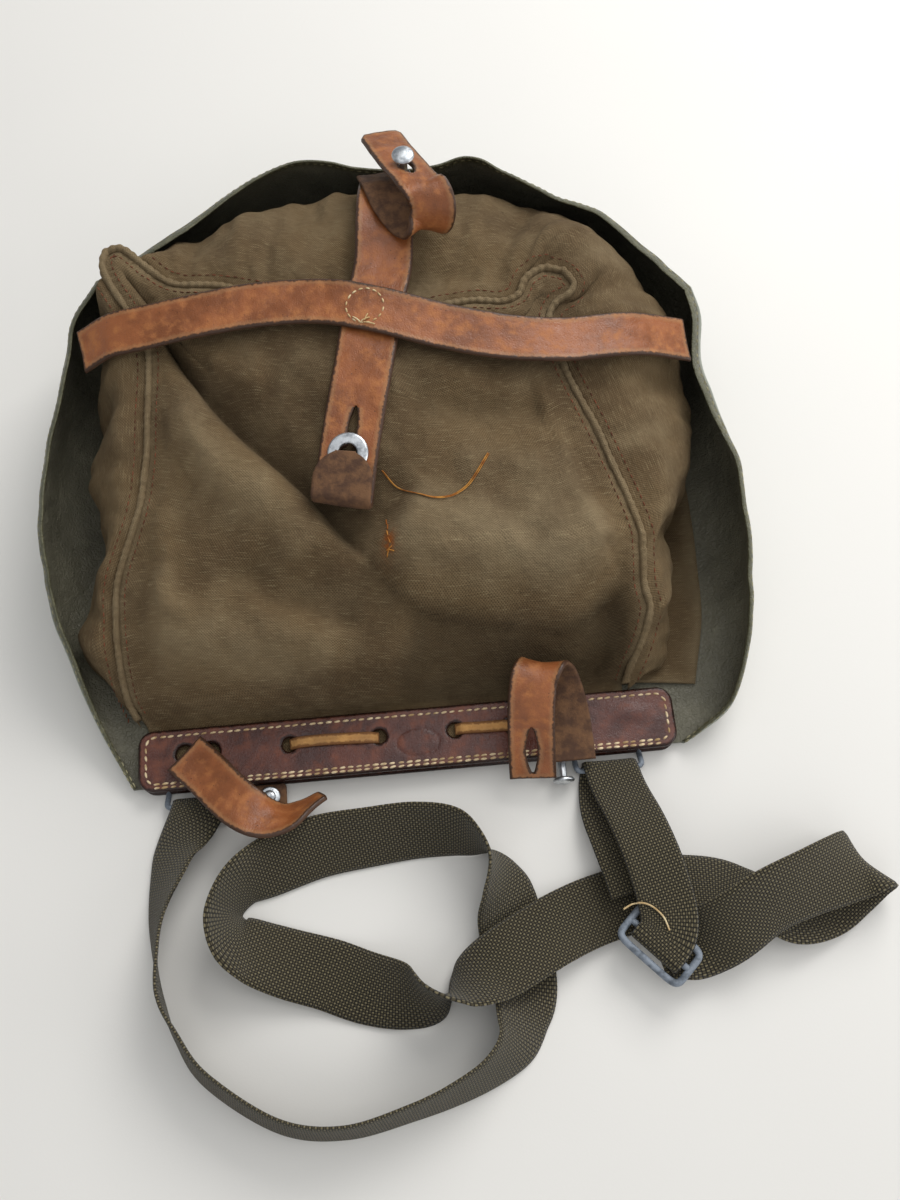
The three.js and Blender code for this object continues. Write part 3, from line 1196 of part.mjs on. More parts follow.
// Centre strap: from the flap's wall over the pouch, with its tip turned up over the washer.
const WASHER_FROM_FOLD = 19;     // from the fold at the strap's end to the washer's middle
const centerStations = layOn(
  ribbonStations(CENTER_STRAP, 3, strapPlace), pouch, CENTER_STRAP_WIDTH, STRAP_THICKNESS,
);
const foldAt = centerStations[centerStations.length - 1].middle;
const washerAt = centerStations.findIndex((station) => station.middle.distanceTo(foldAt) < WASHER_FROM_FOLD);
const washerFrame = frameAt(centerStations, washerAt / (centerStations.length - 1));
foldTip(centerStations, CENTER_TIP_TURN, CENTER_TIP_RADIUS);
const TIP_ROUND = 0.13;          // share of the stations over which the tip is rounded
const centerShare = (t) => Math.sqrt(Math.max(1 - (Math.max(t - 1 + TIP_ROUND, 0) / TIP_ROUND) ** 2, 0.1));
function centerStrap() {
  const strap = ribbon(centerStations, CENTER_STRAP_WIDTH, STRAP_THICKNESS, centerShare);
  const hole = turned([[0, -4], [WASHER_HOLE / 2, -4], [WASHER_HOLE / 2, 4], [0, 4]], 14);
  const punched = cut(strap, ontoStrap(hole, washerFrame, 0));
  return cut(punched, slitTool(washerFrame, 26, SLIT_WIDTH, -9));
}
const centerMesh = add("center_strap", centerStrap(), STRAP_LEATHER());

function strapWasher() {
  const r = WASHER_DIAMETER / 2;
  const hole = WASHER_HOLE / 2;
  const washer = turned([
    [hole, 0.3], [hole + 0.3, 0], [r - 0.5, 0], [r, 0.4], [r - 0.6, WASHER_THICKNESS],
    [hole + 0.6, WASHER_THICKNESS], [hole, 0.3],
  ], 24);
  return ontoStrap(washer, washerFrame, STRAP_THICKNESS / 2 + GAP);
}
add("strap_washer", strapWasher(), ALUMINIUM());

// Cross strap: from wall to wall of the flap, over the pouch and the centre strap.
function wallEnd(s, drop) {
  const w = wallShape(s);
  const p = flapPoint(s, 1, drop);
  return { point: insideWall(p, STRAP_THICKNESS * 1.8), direction: w.direction };
}

function crossStrapStations() {
  const left = wallEnd(CROSS_STRAP_ENDS.left, CROSS_STRAP_ENDS.drop);
  const right = wallEnd(CROSS_STRAP_ENDS.right, CROSS_STRAP_ENDS.drop);
  const rows = [
    { at: left.point, across: CROSS_STRAP[0].across + 4, tilt: CROSS_STRAP[0].tilt },
    ...CROSS_STRAP.map((row) => ({ ...row, at: strapPlace(row) })),
    { at: right.point, across: CROSS_STRAP[CROSS_STRAP.length - 1].across, tilt: 6 },
  ];
  return ribbonStations(rows, 3, (row) => row.at);
}
const crossStations = layOn(
  crossStrapStations(), [...pouch, centerMesh], CROSS_STRAP_WIDTH, STRAP_THICKNESS,
);
const crossStrap = ribbon(crossStations, CROSS_STRAP_WIDTH, STRAP_THICKNESS);
add("cross_strap", trim(crossStrap, flapSpace, gussetSpace), STRAP_LEATHER());

// Closure strap: a root on the flap's wall, a turn back, and a tab held by a stud through a slit.
const closureStations = layOn(
  ribbonStations(CLOSURE_STRAP, 3, strapPlace), [...pouch, centerMesh], CLOSURE_STRAP_WIDTH, STRAP_THICKNESS,
);
const closureFrame = frameAt(closureStations, CLOSURE_STUD_AT);
function closureStrap() {
  const strap = ribbon(closureStations, CLOSURE_STRAP_WIDTH, STRAP_THICKNESS);
  return cut(strap, slitTool(closureFrame, 15, STUD_POST + 3.2, -1));
}
const closureMesh = add("closure_strap", closureStrap(), STRAP_LEATHER());

function closureStud() {
  const { x, y, z } = closureFrame.middle;
  const under = [closureMesh, centerMesh, gussetMesh];
  const foot = topAround(under, x, y, STUD_POST, z - STRAP_THICKNESS * 1.5) + GAP;
  return stud(z + STUD_PROUD - foot).translate(x, y, foot);
}
add("closure_stud", closureStud(), ALUMINIUM());

// Belt loops
function yokePlace(row) {
  return new THREE.Vector3(row.x * YOKE_LENGTH, NEAR_Y + row.y * YOKE_WIDTH, YOKE_TOP + row.z * YOKE_WIDTH);
}
const leftLoop = ribbonStations(BELT_LOOP_LEFT, 3, yokePlace);
const LOOP_TIP = 0.3;            // share of the left loop over which it narrows to its tip
add("belt_loop_left", ribbon(leftLoop, BELT_LOOP_WIDTH, STRAP_THICKNESS,
  (t) => 1 - 0.45 * smoothstep((t - 1 + LOOP_TIP) / LOOP_TIP)), STRAP_LEATHER());

const rightLoop = ribbonStations(BELT_LOOP_RIGHT, 3, yokePlace);
function beltLoopRight() {
  const loop = ribbon(rightLoop, BELT_LOOP_WIDTH, STRAP_THICKNESS);
  return cut(loop, slitTool(frameAt(rightLoop, 0.06), 24, SLIT_WIDTH * 1.6, 0, 1));
}
add("belt_loop_right", beltLoopRight(), STRAP_LEATHER());

const LOOP_STUD = { x: 0.280, z: 6.6 };
function loopStud() {
  const geometry = stud(LOOP_STUD_LENGTH).rotateX(Math.PI / 2);
  return geometry.translate(LOOP_STUD.x * YOKE_LENGTH, NEAR_Y - GAP, LOOP_STUD.z);
}
add("loop_stud", loopStud(), ALUMINIUM());
add("snap_tab_left", snapTab(), STRAP_LEATHER());
add("snap_rivet", snapRivet(), ALUMINIUM());

// Rings, sling and slider
add("ring_left", ring(RING_LEFT_AT), GREY_PAINT());
add("ring_right", ring(RING_RIGHT_AT), GREY_PAINT());
function slingPlace(row, i) {
  const t = i / (SLING.length - 1);
  const { leftTo, rightFrom, rightTo } = MOVES_WITH;
  const withLeft = 1 - smoothstep(t / leftTo);
  const withRight = smoothstep((t - rightFrom) / (rightTo - rightFrom));
  const x = row.x + LEFT_SHIFT * withLeft + RIGHT_SHIFT * withRight;
  return new THREE.Vector3(x, NEAR_Y + row.y, row.z);
}
const slingStations = ribbonStations(SLING, SLING_STEPS, slingPlace);
// Width of the webbing along its route: gathered where it passes the rings and the slider.
function slingShare(t) {
  const { left, right, over } = GATHERED;
  const free = smoothstep((t - left) / over) * smoothstep((right - t) / over);
  return SLING_GATHER + (1 - SLING_GATHER) * free;
}
add("sling_webbing", ribbon(slingStations, SLING_WIDTH, SLING_THICKNESS, slingShare), WEBBING());
add("slider_buckle", slider(), GREY_PAINT());

export default bag;
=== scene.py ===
"""A worn haversack that lies open on its flap: canvas pouch, leather yoke, straps and loops,
metal studs and rings, and a webbing sling. Run as a script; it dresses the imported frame."""

import json
import math
from functools import partial

import bpy
import numpy as np
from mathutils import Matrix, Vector
from mathutils.bvhtree import BVHTree

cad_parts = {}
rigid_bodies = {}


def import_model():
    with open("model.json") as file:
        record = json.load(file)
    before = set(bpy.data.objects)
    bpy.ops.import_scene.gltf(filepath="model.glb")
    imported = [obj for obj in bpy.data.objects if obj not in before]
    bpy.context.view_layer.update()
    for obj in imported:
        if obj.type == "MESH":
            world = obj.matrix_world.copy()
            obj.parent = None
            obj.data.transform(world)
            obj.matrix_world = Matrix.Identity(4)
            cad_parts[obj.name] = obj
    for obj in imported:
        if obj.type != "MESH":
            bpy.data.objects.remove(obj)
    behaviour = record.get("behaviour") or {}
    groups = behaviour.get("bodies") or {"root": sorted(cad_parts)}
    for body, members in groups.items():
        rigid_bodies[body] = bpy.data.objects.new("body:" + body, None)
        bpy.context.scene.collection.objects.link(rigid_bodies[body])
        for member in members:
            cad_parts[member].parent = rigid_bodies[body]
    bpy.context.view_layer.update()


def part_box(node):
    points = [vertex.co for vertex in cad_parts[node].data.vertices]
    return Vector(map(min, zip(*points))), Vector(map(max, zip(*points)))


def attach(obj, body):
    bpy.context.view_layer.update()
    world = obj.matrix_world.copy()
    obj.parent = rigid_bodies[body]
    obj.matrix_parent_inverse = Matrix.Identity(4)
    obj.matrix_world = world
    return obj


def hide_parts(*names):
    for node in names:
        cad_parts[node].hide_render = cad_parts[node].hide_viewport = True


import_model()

bl_info = {
    "name": "Haversack dresser",
    "version": (1, 0, 0),
    "blender": (4, 5, 0),
    "location": "3D View > Sidebar > Haversack",
    "description": "Builds the cloth, leather, metal and webbing of an old canvas haversack",
    "category": "Object",
}

MM = 0.001

# Sizes of the bag in mm, as in the solids
HALF_WIDTH = 160.0
FLAP_LENGTH = 290.0
WALL_HEIGHT = 84.0
WALL_RADIUS = 32.0
FLAP_THICKNESS = 1.4
POUCH_DEPTH = 86.0
CANVAS_THICKNESS = 1.5
CANVAS_LEAF = CANVAS_THICKNESS * 0.8
SEAM_WIDTH = 3.2
SEAM_HEIGHT = 4.6
PANEL_CROWN = 0.17
YOKE_LENGTH = 246.0
YOKE_WIDTH = 28.0
YOKE_THICKNESS = 3.0
BACKING_THICKNESS = 3.2
GAP = 0.35
LAY_GAP = 0.7
STRAP_THICKNESS = 2.4
CENTER_WIDTH = 26.0
CROSS_WIDTH = 21.0
CLOSURE_WIDTH = 20.0
LOOP_WIDTH = 21.0
THONG_WIDTH = 5.2
THONG_THICKNESS = 1.5
WEBBING_WIDTH = 30.0
WEBBING_THICKNESS = 1.7
NEAR_Y = -136.0
FAR_OF_YOKE = NEAR_Y + YOKE_WIDTH
YOKE_MIDDLE_Y = NEAR_Y + YOKE_WIDTH / 2
FLAP_LIFT = BACKING_THICKNESS + GAP * 1.3
CANVAS_LIFT = FLAP_LIFT + FLAP_THICKNESS + GAP
UNDER_YOKE = CANVAS_LIFT + CANVAS_THICKNESS
YOKE_LIFT = UNDER_YOKE + GAP * 1.5
YOKE_TOP = YOKE_LIFT + YOKE_THICKNESS
HEART = np.array([0.0, NEAR_Y + GAP * 4, 0.0])

# Places along each side of the flap's rim and the pouch's seam, as shares: x of half the width,
# y of the flap's length, z of the wall's height or the pouch's depth, out of the wall's radius.
# x, y, z, out
RIM = {
    "left": (
        (-0.785, 0.01, 0.02, 0), (-0.865, 0.115, 0.19, 0.08), (-0.93, 0.247, 0.48, 0.2),
        (-0.952, 0.337, 0.65, 0.25), (-0.956, 0.431, 0.71, 0.28), (-0.937, 0.513, 0.74, 0.32),
        (-0.88, 0.641, 0.8, 0.38), (-0.86, 0.718, 0.83, 0.42), (-0.781, 0.783, 0.87, 0.5),
    ),
    "far": (
        (-0.781, 0.783, 0.87, 0.5), (-0.544, 0.853, 0.93, 0.62), (-0.362, 0.928, 0.95, 0.56),
        (-0.206, 0.965, 0.98, 0.44), (-0.087, 0.963, 0.98, 0.38), (0.044, 0.948, 0.95, 0.38),
        (0.206, 0.943, 0.95, 0.38), (0.325, 0.947, 1, 0.38), (0.44, 0.907, 0.995, 0.46),
        (0.577, 0.855, 0.975, 0.54), (0.69, 0.824, 0.95, 0.58), (0.796, 0.762, 0.905, 0.58),
        (0.912, 0.69, 0.857, 0.56),
    ),
    "right": (
        (0.912, 0.69, 0.857, 0.56), (0.92, 0.64, 0.833, 0.56), (0.905, 0.56, 0.81, 0.52),
        (0.93, 0.482, 0.785, 0.44), (0.98, 0.399, 0.738, 0.3), (0.992, 0.306, 0.667, 0.22),
        (0.98, 0.218, 0.57, 0.18), (0.965, 0.135, 0.43, 0.12), (0.919, 0.056, 0.24, 0.06),
        (0.838, 0.022, 0.1, 0.02), (0.79, 0.008, 0.02, 0),
    ),
}
# x, y, z
SEAM = {
    "left": (
        (-0.745, 0.012, 0.063), (-0.748, 0.092, 0.07), (-0.772, 0.122, 0.15),
        (-0.782, 0.145, 0.24), (-0.783, 0.193, 0.385), (-0.777, 0.248, 0.49),
        (-0.762, 0.303, 0.56), (-0.69, 0.399, 0.675), (-0.66, 0.466, 0.745),
        (-0.649, 0.538, 0.8), (-0.636, 0.634, 0.86), (-0.659, 0.679, 0.895),
        (-0.693, 0.716, 0.919), (-0.738, 0.76, 0.942), (-0.757, 0.791, 0.953),
        (-0.746, 0.817, 0.953),
    ),
    "far": (
        (-0.746, 0.817, 0.953), (-0.696, 0.817, 0.965), (-0.624, 0.779, 0.942),
        (-0.552, 0.752, 0.93), (-0.421, 0.736, 0.953), (-0.226, 0.703, 0.977),
        (-0.059, 0.674, 0.988), (0.108, 0.66, 0.988), (0.279, 0.669, 0.977),
        (0.366, 0.664, 0.977), (0.416, 0.674, 0.977), (0.441, 0.699, 0.988),
        (0.493, 0.717, 0.988), (0.553, 0.712, 0.977),
    ),
    "right": (
        (0.553, 0.712, 0.977), (0.577, 0.689, 0.965), (0.559, 0.672, 0.953), (0.52, 0.66, 0.942),
        (0.497, 0.63, 0.93), (0.524, 0.554, 0.895), (0.596, 0.449, 0.826), (0.68, 0.312, 0.721),
        (0.688, 0.269, 0.663), (0.687, 0.221, 0.581), (0.701, 0.189, 0.512),
        (0.679, 0.151, 0.395), (0.646, 0.118, 0.22), (0.64, 0.092, 0.075), (0.635, 0.012, 0.063),
    ),
}
# x, y, z
GUSSET = {
    "left": (
        (-0.8, 0.165, 0.13), (-0.852, 0.188, 0.2), (-0.872, 0.235, 0.29), (-0.865, 0.31, 0.38),
        (-0.83, 0.4, 0.44), (-0.836, 0.505, 0.48), (-0.822, 0.62, 0.53), (-0.802, 0.7, 0.56),
        (-0.795, 0.76, 0.59), (-0.782, 0.815, 0.64),
    ),
    "far": (
        (-0.782, 0.815, 0.64), (-0.725, 0.838, 0.72), (-0.59, 0.86, 0.77), (-0.45, 0.88, 0.8),
        (-0.3, 0.902, 0.82), (-0.12, 0.922, 0.835), (0.03, 0.926, 0.835), (0.2, 0.915, 0.835),
        (0.35, 0.896, 0.835), (0.5, 0.872, 0.83), (0.61, 0.846, 0.82), (0.7, 0.8, 0.79),
    ),
    "right": (
        (0.7, 0.8, 0.79), (0.8, 0.725, 0.74), (0.868, 0.65, 0.69), (0.888, 0.57, 0.63),
        (0.884, 0.48, 0.56), (0.85, 0.4, 0.48), (0.8, 0.32, 0.41), (0.77, 0.24, 0.34),
        (0.758, 0.17, 0.24), (0.735, 0.125, 0.14),
    ),
}
# x, y
FRONT_OUTLINE = (
    (-0.79, 0.175), (-0.862, 0.3), (-0.835, 0.55), (-0.8, 0.74), (-0.56, 0.85), (0, 0.905),
    (0.5, 0.862), (0.8, 0.735), (0.9, 0.56), (0.925, 0.4), (0.905, 0.23), (0.85, 0.1),
)
# x, y, z, across, tilt
SLING = (
    (-96, -15, 2, 0, 0), (-96, -7.4, 1.9, 0, 0), (-96, -4, 4.85, 0, 0), (-96, -7.4, 7.8, 0, 0),
    (-98.5, -14, 9.4, -9, 9), (-105, -24, 9.2, -18, 30), (-109, -35, 11.4, -15, 45),
    (-114, -56, 14.2, -7, 66), (-114, -77, 15, 3, 78), (-112, -90, 15.2, 17, 82),
    (-106, -104, 15, 29, 77), (-94, -122, 14.8, 41, 74), (-65, -142, 14.9, 70, 75),
    (-38, -147, 15, 90, 77), (-10, -142, 14.9, 106, 75), (10, -136, 14.6, 112, 70),
    (25, -129, 14, 126, 64), (35, -120, 12.5, 150, 52), (39, -108, 9.7, 166, 36),
    (41, -96, 4.6, 179, 14), (40, -84, 2.6, 186, 6), (38, -69, 4.6, 188, 14),
    (36, -54, 11.5, 196, 46), (31, -40, 15.6, 217, 86), (19, -31, 13.6, 249, 122),
    (1, -28, 11.2, 267, 136), (-21, -29, 10.4, 273, 141), (-43, -31, 9.6, 279, 146),
    (-63, -37, 10.4, 292, 142), (-77, -44, 13.4, 315, 122), (-85, -56, 14.4, 354, 112),
    (-82, -67, 12.8, 395, 126), (-73, -73, 8.6, 419, 150), (-59, -79, 4.8, 428, 166),
    (-42, -85, 2.6, 428, 176), (-26, -92, 4, 430, 190), (-9, -97, 9.2, 437, 212),
    (4, -99, 15.4, 453, 252), (15, -96, 16.2, 469, 304), (27, -90, 14.6, 476, 336),
    (39, -84, 13, 476, 350), (56, -76, 9, 473, 354), (72, -70, 4.6, 468, 356),
    (88, -66, 3.6, 463, 352), (104, -63, 5.4, 456, 343), (116, -62, 8.4, 448, 336),
    (131, -64, 9, 434, 330), (147, -71, 9.3, 426, 326), (161, -77, 6.1, 443, 340),
    (176, -75, 3.1, 466, 352), (188, -68, 2.4, 486, 359), (195, -63, 4.6, 492, 362),
    (197, -61, 9, 494, 364), (192, -60, 15, 492, 369), (180, -63, 20, 485, 379),
    (166, -67, 23.4, 479, 386), (148, -73, 24.4, 478, 388), (131, -82, 20.4, 478, 380),
    (118, -87, 11.8, 484, 362), (109, -87.6, 11, 489, 360), (102.6, -87.2, 11.5, 492, 360),
    (98.8, -87.6, 12, 493, 360), (97.1, -88.7, 13.2, 493, 360), (96.7, -89.1, 15, 493, 360),
    (97.1, -88.7, 16.8, 493, 360), (98.8, -87.1, 17.9, 493, 360), (103.5, -82, 18.3, 498, 360),
    (105, -74, 19.6, 514, 360), (103.5, -62, 21.4, 530, 360), (100.8, -48, 21.8, 536, 360),
    (97.2, -33, 18.2, 540, 360), (93, -18, 11.2, 540, 360), (91, -7.6, 7.8, 540, 360),
    (90.6, -4, 4.85, 540, 360), (90.2, -7.4, 1.9, 540, 360), (88, -15, 2.4, 540, 360),
    (87, -27, 6.4, 538, 360), (89.5, -41, 10.6, 536, 360), (92.5, -54, 12.4, 534, 360),
    (94.5, -63, 12.2, 532, 360),
)

# Straps: x and y as the rim's, z a share of the pouch depth; across and tilt in degrees.
CENTER_STRAP = (
    (0.078, 0.922, 0.860, -12, -14), (0.066, 0.855, 1.020, -12, -14), (0.058, 0.800, 1.055, -8, -9),
    (0.046, 0.735, 1.075, -6, -4), (0.022, 0.680, 1.085, -6, 0), (-0.002, 0.628, 1.075, -8, 0),
    (-0.030, 0.560, 1.040, -10, 2), (-0.058, 0.500, 1.005, -12, 3), (-0.086, 0.437, 0.965, -14, 4),
    (-0.104, 0.392, 0.935, -15, 4), (-0.114, 0.362, 0.915, -15, 4),
)
CROSS_STRAP = (
    (-0.838, 0.668, 0.800, 92, 12), (-0.750, 0.672, 0.895, 88, 12), (-0.620, 0.668, 0.990, 88, 10),
    (-0.470, 0.670, 1.050, 88, 8), (-0.320, 0.672, 1.085, 88, 8), (-0.150, 0.664, 1.115, 86, 8),
    (0.000, 0.640, 1.135, 84, 10), (0.190, 0.606, 1.110, 84, 10), (0.350, 0.585, 1.080, 86, 8),
    (0.510, 0.578, 1.045, 90, 4), (0.680, 0.586, 0.985, 92, 4), (0.800, 0.596, 0.900, 93, 6),
    (0.892, 0.602, 0.810, 93, 6),
)
CLOSURE_STRAP = (
    (0.050, 0.915, 0.975, 2, 0), (0.066, 0.865, 1.110, 0, 0), (0.095, 0.815, 1.130, -2, 0),
    (0.140, 0.782, 1.140, -4, 0), (0.180, 0.768, 1.200, -4, 0), (0.194, 0.776, 1.300, -4, 0),
    (0.182, 0.795, 1.352, -5, 0), (0.158, 0.818, 1.345, -7, 0), (0.124, 0.866, 1.280, -8, 0),
    (0.093, 0.914, 1.215, -8, 0), (0.066, 0.962, 1.150, -8, 0),
)
# Belt loops: x from the yoke's middle and y from its near edge as shares of the yoke's length
# and width, z above the yoke's top as a share of its width.
BELT_LOOP_LEFT = (
    (-0.412, 0.560, 0.080, 48, 0), (-0.372, 0.200, 0.180, 50, 0), (-0.336, -0.160, 0.330, 52, 0),
    (-0.302, -0.450, 0.420, 58, -6), (-0.270, -0.620, 0.400, 66, -22), (-0.232, -0.630, 0.300, 84, -44),
    (-0.196, -0.500, 0.190, 104, -58), (-0.160, -0.320, 0.120, 116, -62),
)
BELT_LOOP_RIGHT = (
    (0.222, -0.340, 0.060, -8, 0), (0.222, 0.100, 0.460, -8, 0), (0.226, 0.640, 0.820, -8, 0),
    (0.236, 1.080, 1.000, -8, 0), (0.256, 1.300, 0.860, -8, 0), (0.274, 1.240, 0.560, -8, 0),
    (0.288, 0.960, 0.320, -8, 0), (0.296, 0.600, 0.160, -6, 0), (0.298, 0.240, 0.090, -6, 0),
    (0.298, -0.120, 0.070, -6, 0),
)

# Folds of the rear panel: height in mm, width in mm on its two sides, and its route in shares
# across and along the panel. A crease comes to a sharp line, the others are round.
FOLDS = (
    (
        "crease", -8.0, 2.4, 20.0,
        ((0.00, 0.83), (0.10, 0.765), (0.20, 0.70), (0.31, 0.60), (0.41, 0.49), (0.48, 0.42)),
    ),
    ("round", 4.5, 13.0, 13.0, ((0.05, 0.70), (0.17, 0.61), (0.29, 0.50), (0.39, 0.40))),
    (
        "crease", -6.8, 17.0, 3.0,
        ((0.46, 0.44), (0.53, 0.375), (0.61, 0.335), (0.70, 0.31), (0.85, 0.30), (1.02, 0.35)),
    ),
    ("round", 7.0, 24.0, 24.0, ((0.50, 0.52), (0.70, 0.44), (0.96, 0.46))),
    ("round", -10.5, 15.0, 24.0, ((0.52, 0.26), (0.66, 0.215), (0.82, 0.20), (1.0, 0.22))),
    ("round", 5.0, 16.0, 20.0, ((0.04, 0.30), (0.25, 0.25), (0.45, 0.20))),
    ("round", -3.5, 9.0, 14.0, ((0.22, 0.44), (0.33, 0.36), (0.47, 0.30))),
    ("round", 3.0, 10.0, 10.0, ((0.10, 0.93), (0.16, 0.84), (0.30, 0.76))),
    ("crease", -2.6, 3.0, 9.0, ((0.03, 0.97), (0.08, 0.90), (0.19, 0.80))),
    ("round", -2.6, 9.0, 9.0, ((0.60, 0.80), (0.74, 0.74), (0.92, 0.72))),
    ("round", 2.2, 8.0, 8.0, ((0.66, 0.64), (0.80, 0.60), (0.95, 0.60))),
    ("crease", -1.8, 3.0, 5.0, ((0.91, 0.45), (0.96, 0.38), (1.0, 0.33))),
    ("crease", -1.6, 3.0, 7.0, ((0.30, 0.13), (0.45, 0.12), (0.60, 0.15))),
    ("round", 2.0, 6.0, 6.0, ((0.03, 0.50), (0.10, 0.42), (0.13, 0.30))),
)
# Lumps and hollows of the gusset: height in mm, widths along and down in mm, place in shares.
GUSSET_LUMPS = (
    (4.0, 12.0, 14.0, 0.335, 0.30), (-4.0, 9.0, 16.0, 0.375, 0.25), (3.0, 10.0, 18.0, 0.415, 0.30),
    (-4.5, 34.0, 9.0, 0.56, 0.10), (4.0, 30.0, 12.0, 0.565, 0.27), (-3.0, 8.0, 20.0, 0.615, 0.32),
    (4.5, 14.0, 16.0, 0.665, 0.22), (-5.0, 9.0, 12.0, 0.715, 0.10), (3.5, 12.0, 22.0, 0.755, 0.30),
    (-3.5, 9.0, 26.0, 0.80, 0.36), (3.0, 14.0, 22.0, 0.86, 0.40), (-4.0, 10.0, 20.0, 0.905, 0.36),
    (3.0, 10.0, 18.0, 0.945, 0.42), (-3.5, 12.0, 20.0, 0.10, 0.42), (3.0, 12.0, 22.0, 0.15, 0.46),
    (-3.0, 9.0, 24.0, 0.195, 0.40), (3.0, 8.0, 18.0, 0.045, 0.45), (-2.5, 10.0, 14.0, 0.46, 0.36),
)


# Curves and readings of the tables


def smooth(rows, t):
    """Catmull-Rom values through equally spaced rows of numbers, for t from 0 to 1."""
    rows = np.asarray(rows, float)
    spans = len(rows) - 1
    at = np.clip(t, 0, 1) * spans
    i = np.minimum(at.astype(int), spans - 1)
    f = (at - i)[:, None]
    a, b, c, d = rows[np.maximum(i - 1, 0)], rows[i], rows[i + 1], rows[np.minimum(i + 2, spans)]
    return 0.5 * (2 * b + (c - a) * f + (2 * a - 5 * b + 4 * c - d) * f**2 + (3 * b - a - 3 * c + d) * f**3)


def smoothstep(t):
    """0 below 0, 1 above 1 and an even S between."""
    f = np.clip(t, 0, 1)
    return f * f * (3 - 2 * f)


def unit(v):
    """Vectors scaled to a length of 1."""
    return v / np.maximum(np.linalg.norm(v, axis=-1, keepdims=True), 1e-12)


def placed(rows, depth):
    """Places given in shares of the bag's sizes, in mm; further columns stay as they are."""
    rows = np.asarray(rows, float)
    out = rows.copy()
    out[:, 0] = rows[:, 0] * HALF_WIDTH
    out[:, 1] = NEAR_Y + rows[:, 1] * FLAP_LENGTH
    out[:, 2] = rows[:, 2] * depth
    return out


def side_reader(rows, depth):
    """A side given by rows, read by the length along it, every column smoothed."""
    points = placed(rows, depth)
    steps = np.linalg.norm(np.diff(points[:, :3], axis=0), axis=1)
    lengths = np.concatenate([[0.0], np.cumsum(steps)])

    def read(t):
        share = np.interp(np.clip(t, 0, 1) * lengths[-1], lengths, np.arange(len(lengths)))
        return smooth(points, share / (len(lengths) - 1))

    return read


def loop_reader(table, depth):
    """Three sides joined: s to 1/4 up the left, to 3/4 along the far side, then back."""
    left, far, right = (side_reader(table[k], depth) for k in ("left", "far", "right"))

    def read(s):
        s = np.asarray(s, float)
        near = np.where((s < 0.25)[:, None], left(s * 4), far((s - 0.25) * 2))
        return np.where((s < 0.75)[:, None], near, right((s - 0.75) * 4))

    return read


def ripple(p, size, seed, waves=7):
    """Gentle noise from -1 to 1: a sum of sine waves in fixed random directions, each about
    size long, over points p of any number of columns."""
    rng = np.random.default_rng(seed)
    total = np.zeros(p.shape[:-1])
    for _ in range(waves):
        way = unit(rng.normal(size=p.shape[-1])) * 2 * math.pi / (size * rng.uniform(0.7, 1.6))
        bend = unit(rng.normal(size=p.shape[-1])) * 2 * math.pi / (size * 2.7)
        total += np.sin(p @ way + rng.uniform(0, 6.28) + 1.3 * np.sin(p @ bend + rng.uniform(0, 6.28)))
    return total / waves * 1.6


# Meshes from grids


def grid_normals(grid):
    """Unit normals of a grid of points, from its two directions."""
    return unit(np.cross(np.gradient(grid, axis=1), np.gradient(grid, axis=0)))


def make_object(name, verts, faces, material, uv=None, fields=None, smooth_faces=True):
    """A mesh object at the origin from points in mm; uv is a pair per point in metres."""
    mesh = bpy.data.meshes.new(name)
    faces = faces if isinstance(faces, list) else faces.tolist()
    mesh.from_pydata((np.asarray(verts) * MM).tolist(), [], faces)
    mesh.update()
    if uv is not None:
        layer = mesh.uv_layers.new(name="lay")
        loops = np.empty(len(mesh.loops), int)
        mesh.loops.foreach_get("vertex_index", loops)
        layer.data.foreach_set("uv", np.asarray(uv, float)[loops].ravel())
    for field, values in (fields or {}).items():
        layer = mesh.attributes.new(field, "FLOAT", "POINT")
        layer.data.foreach_set("value", np.asarray(values, float).ravel())
    mesh.polygons.foreach_set("use_smooth", np.full(len(mesh.polygons), smooth_faces))
    mesh.materials.append(material)
    piece = bpy.data.objects.new(name, mesh)
    bpy.context.collection.objects.link(piece)
    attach(piece, "root")
    return piece


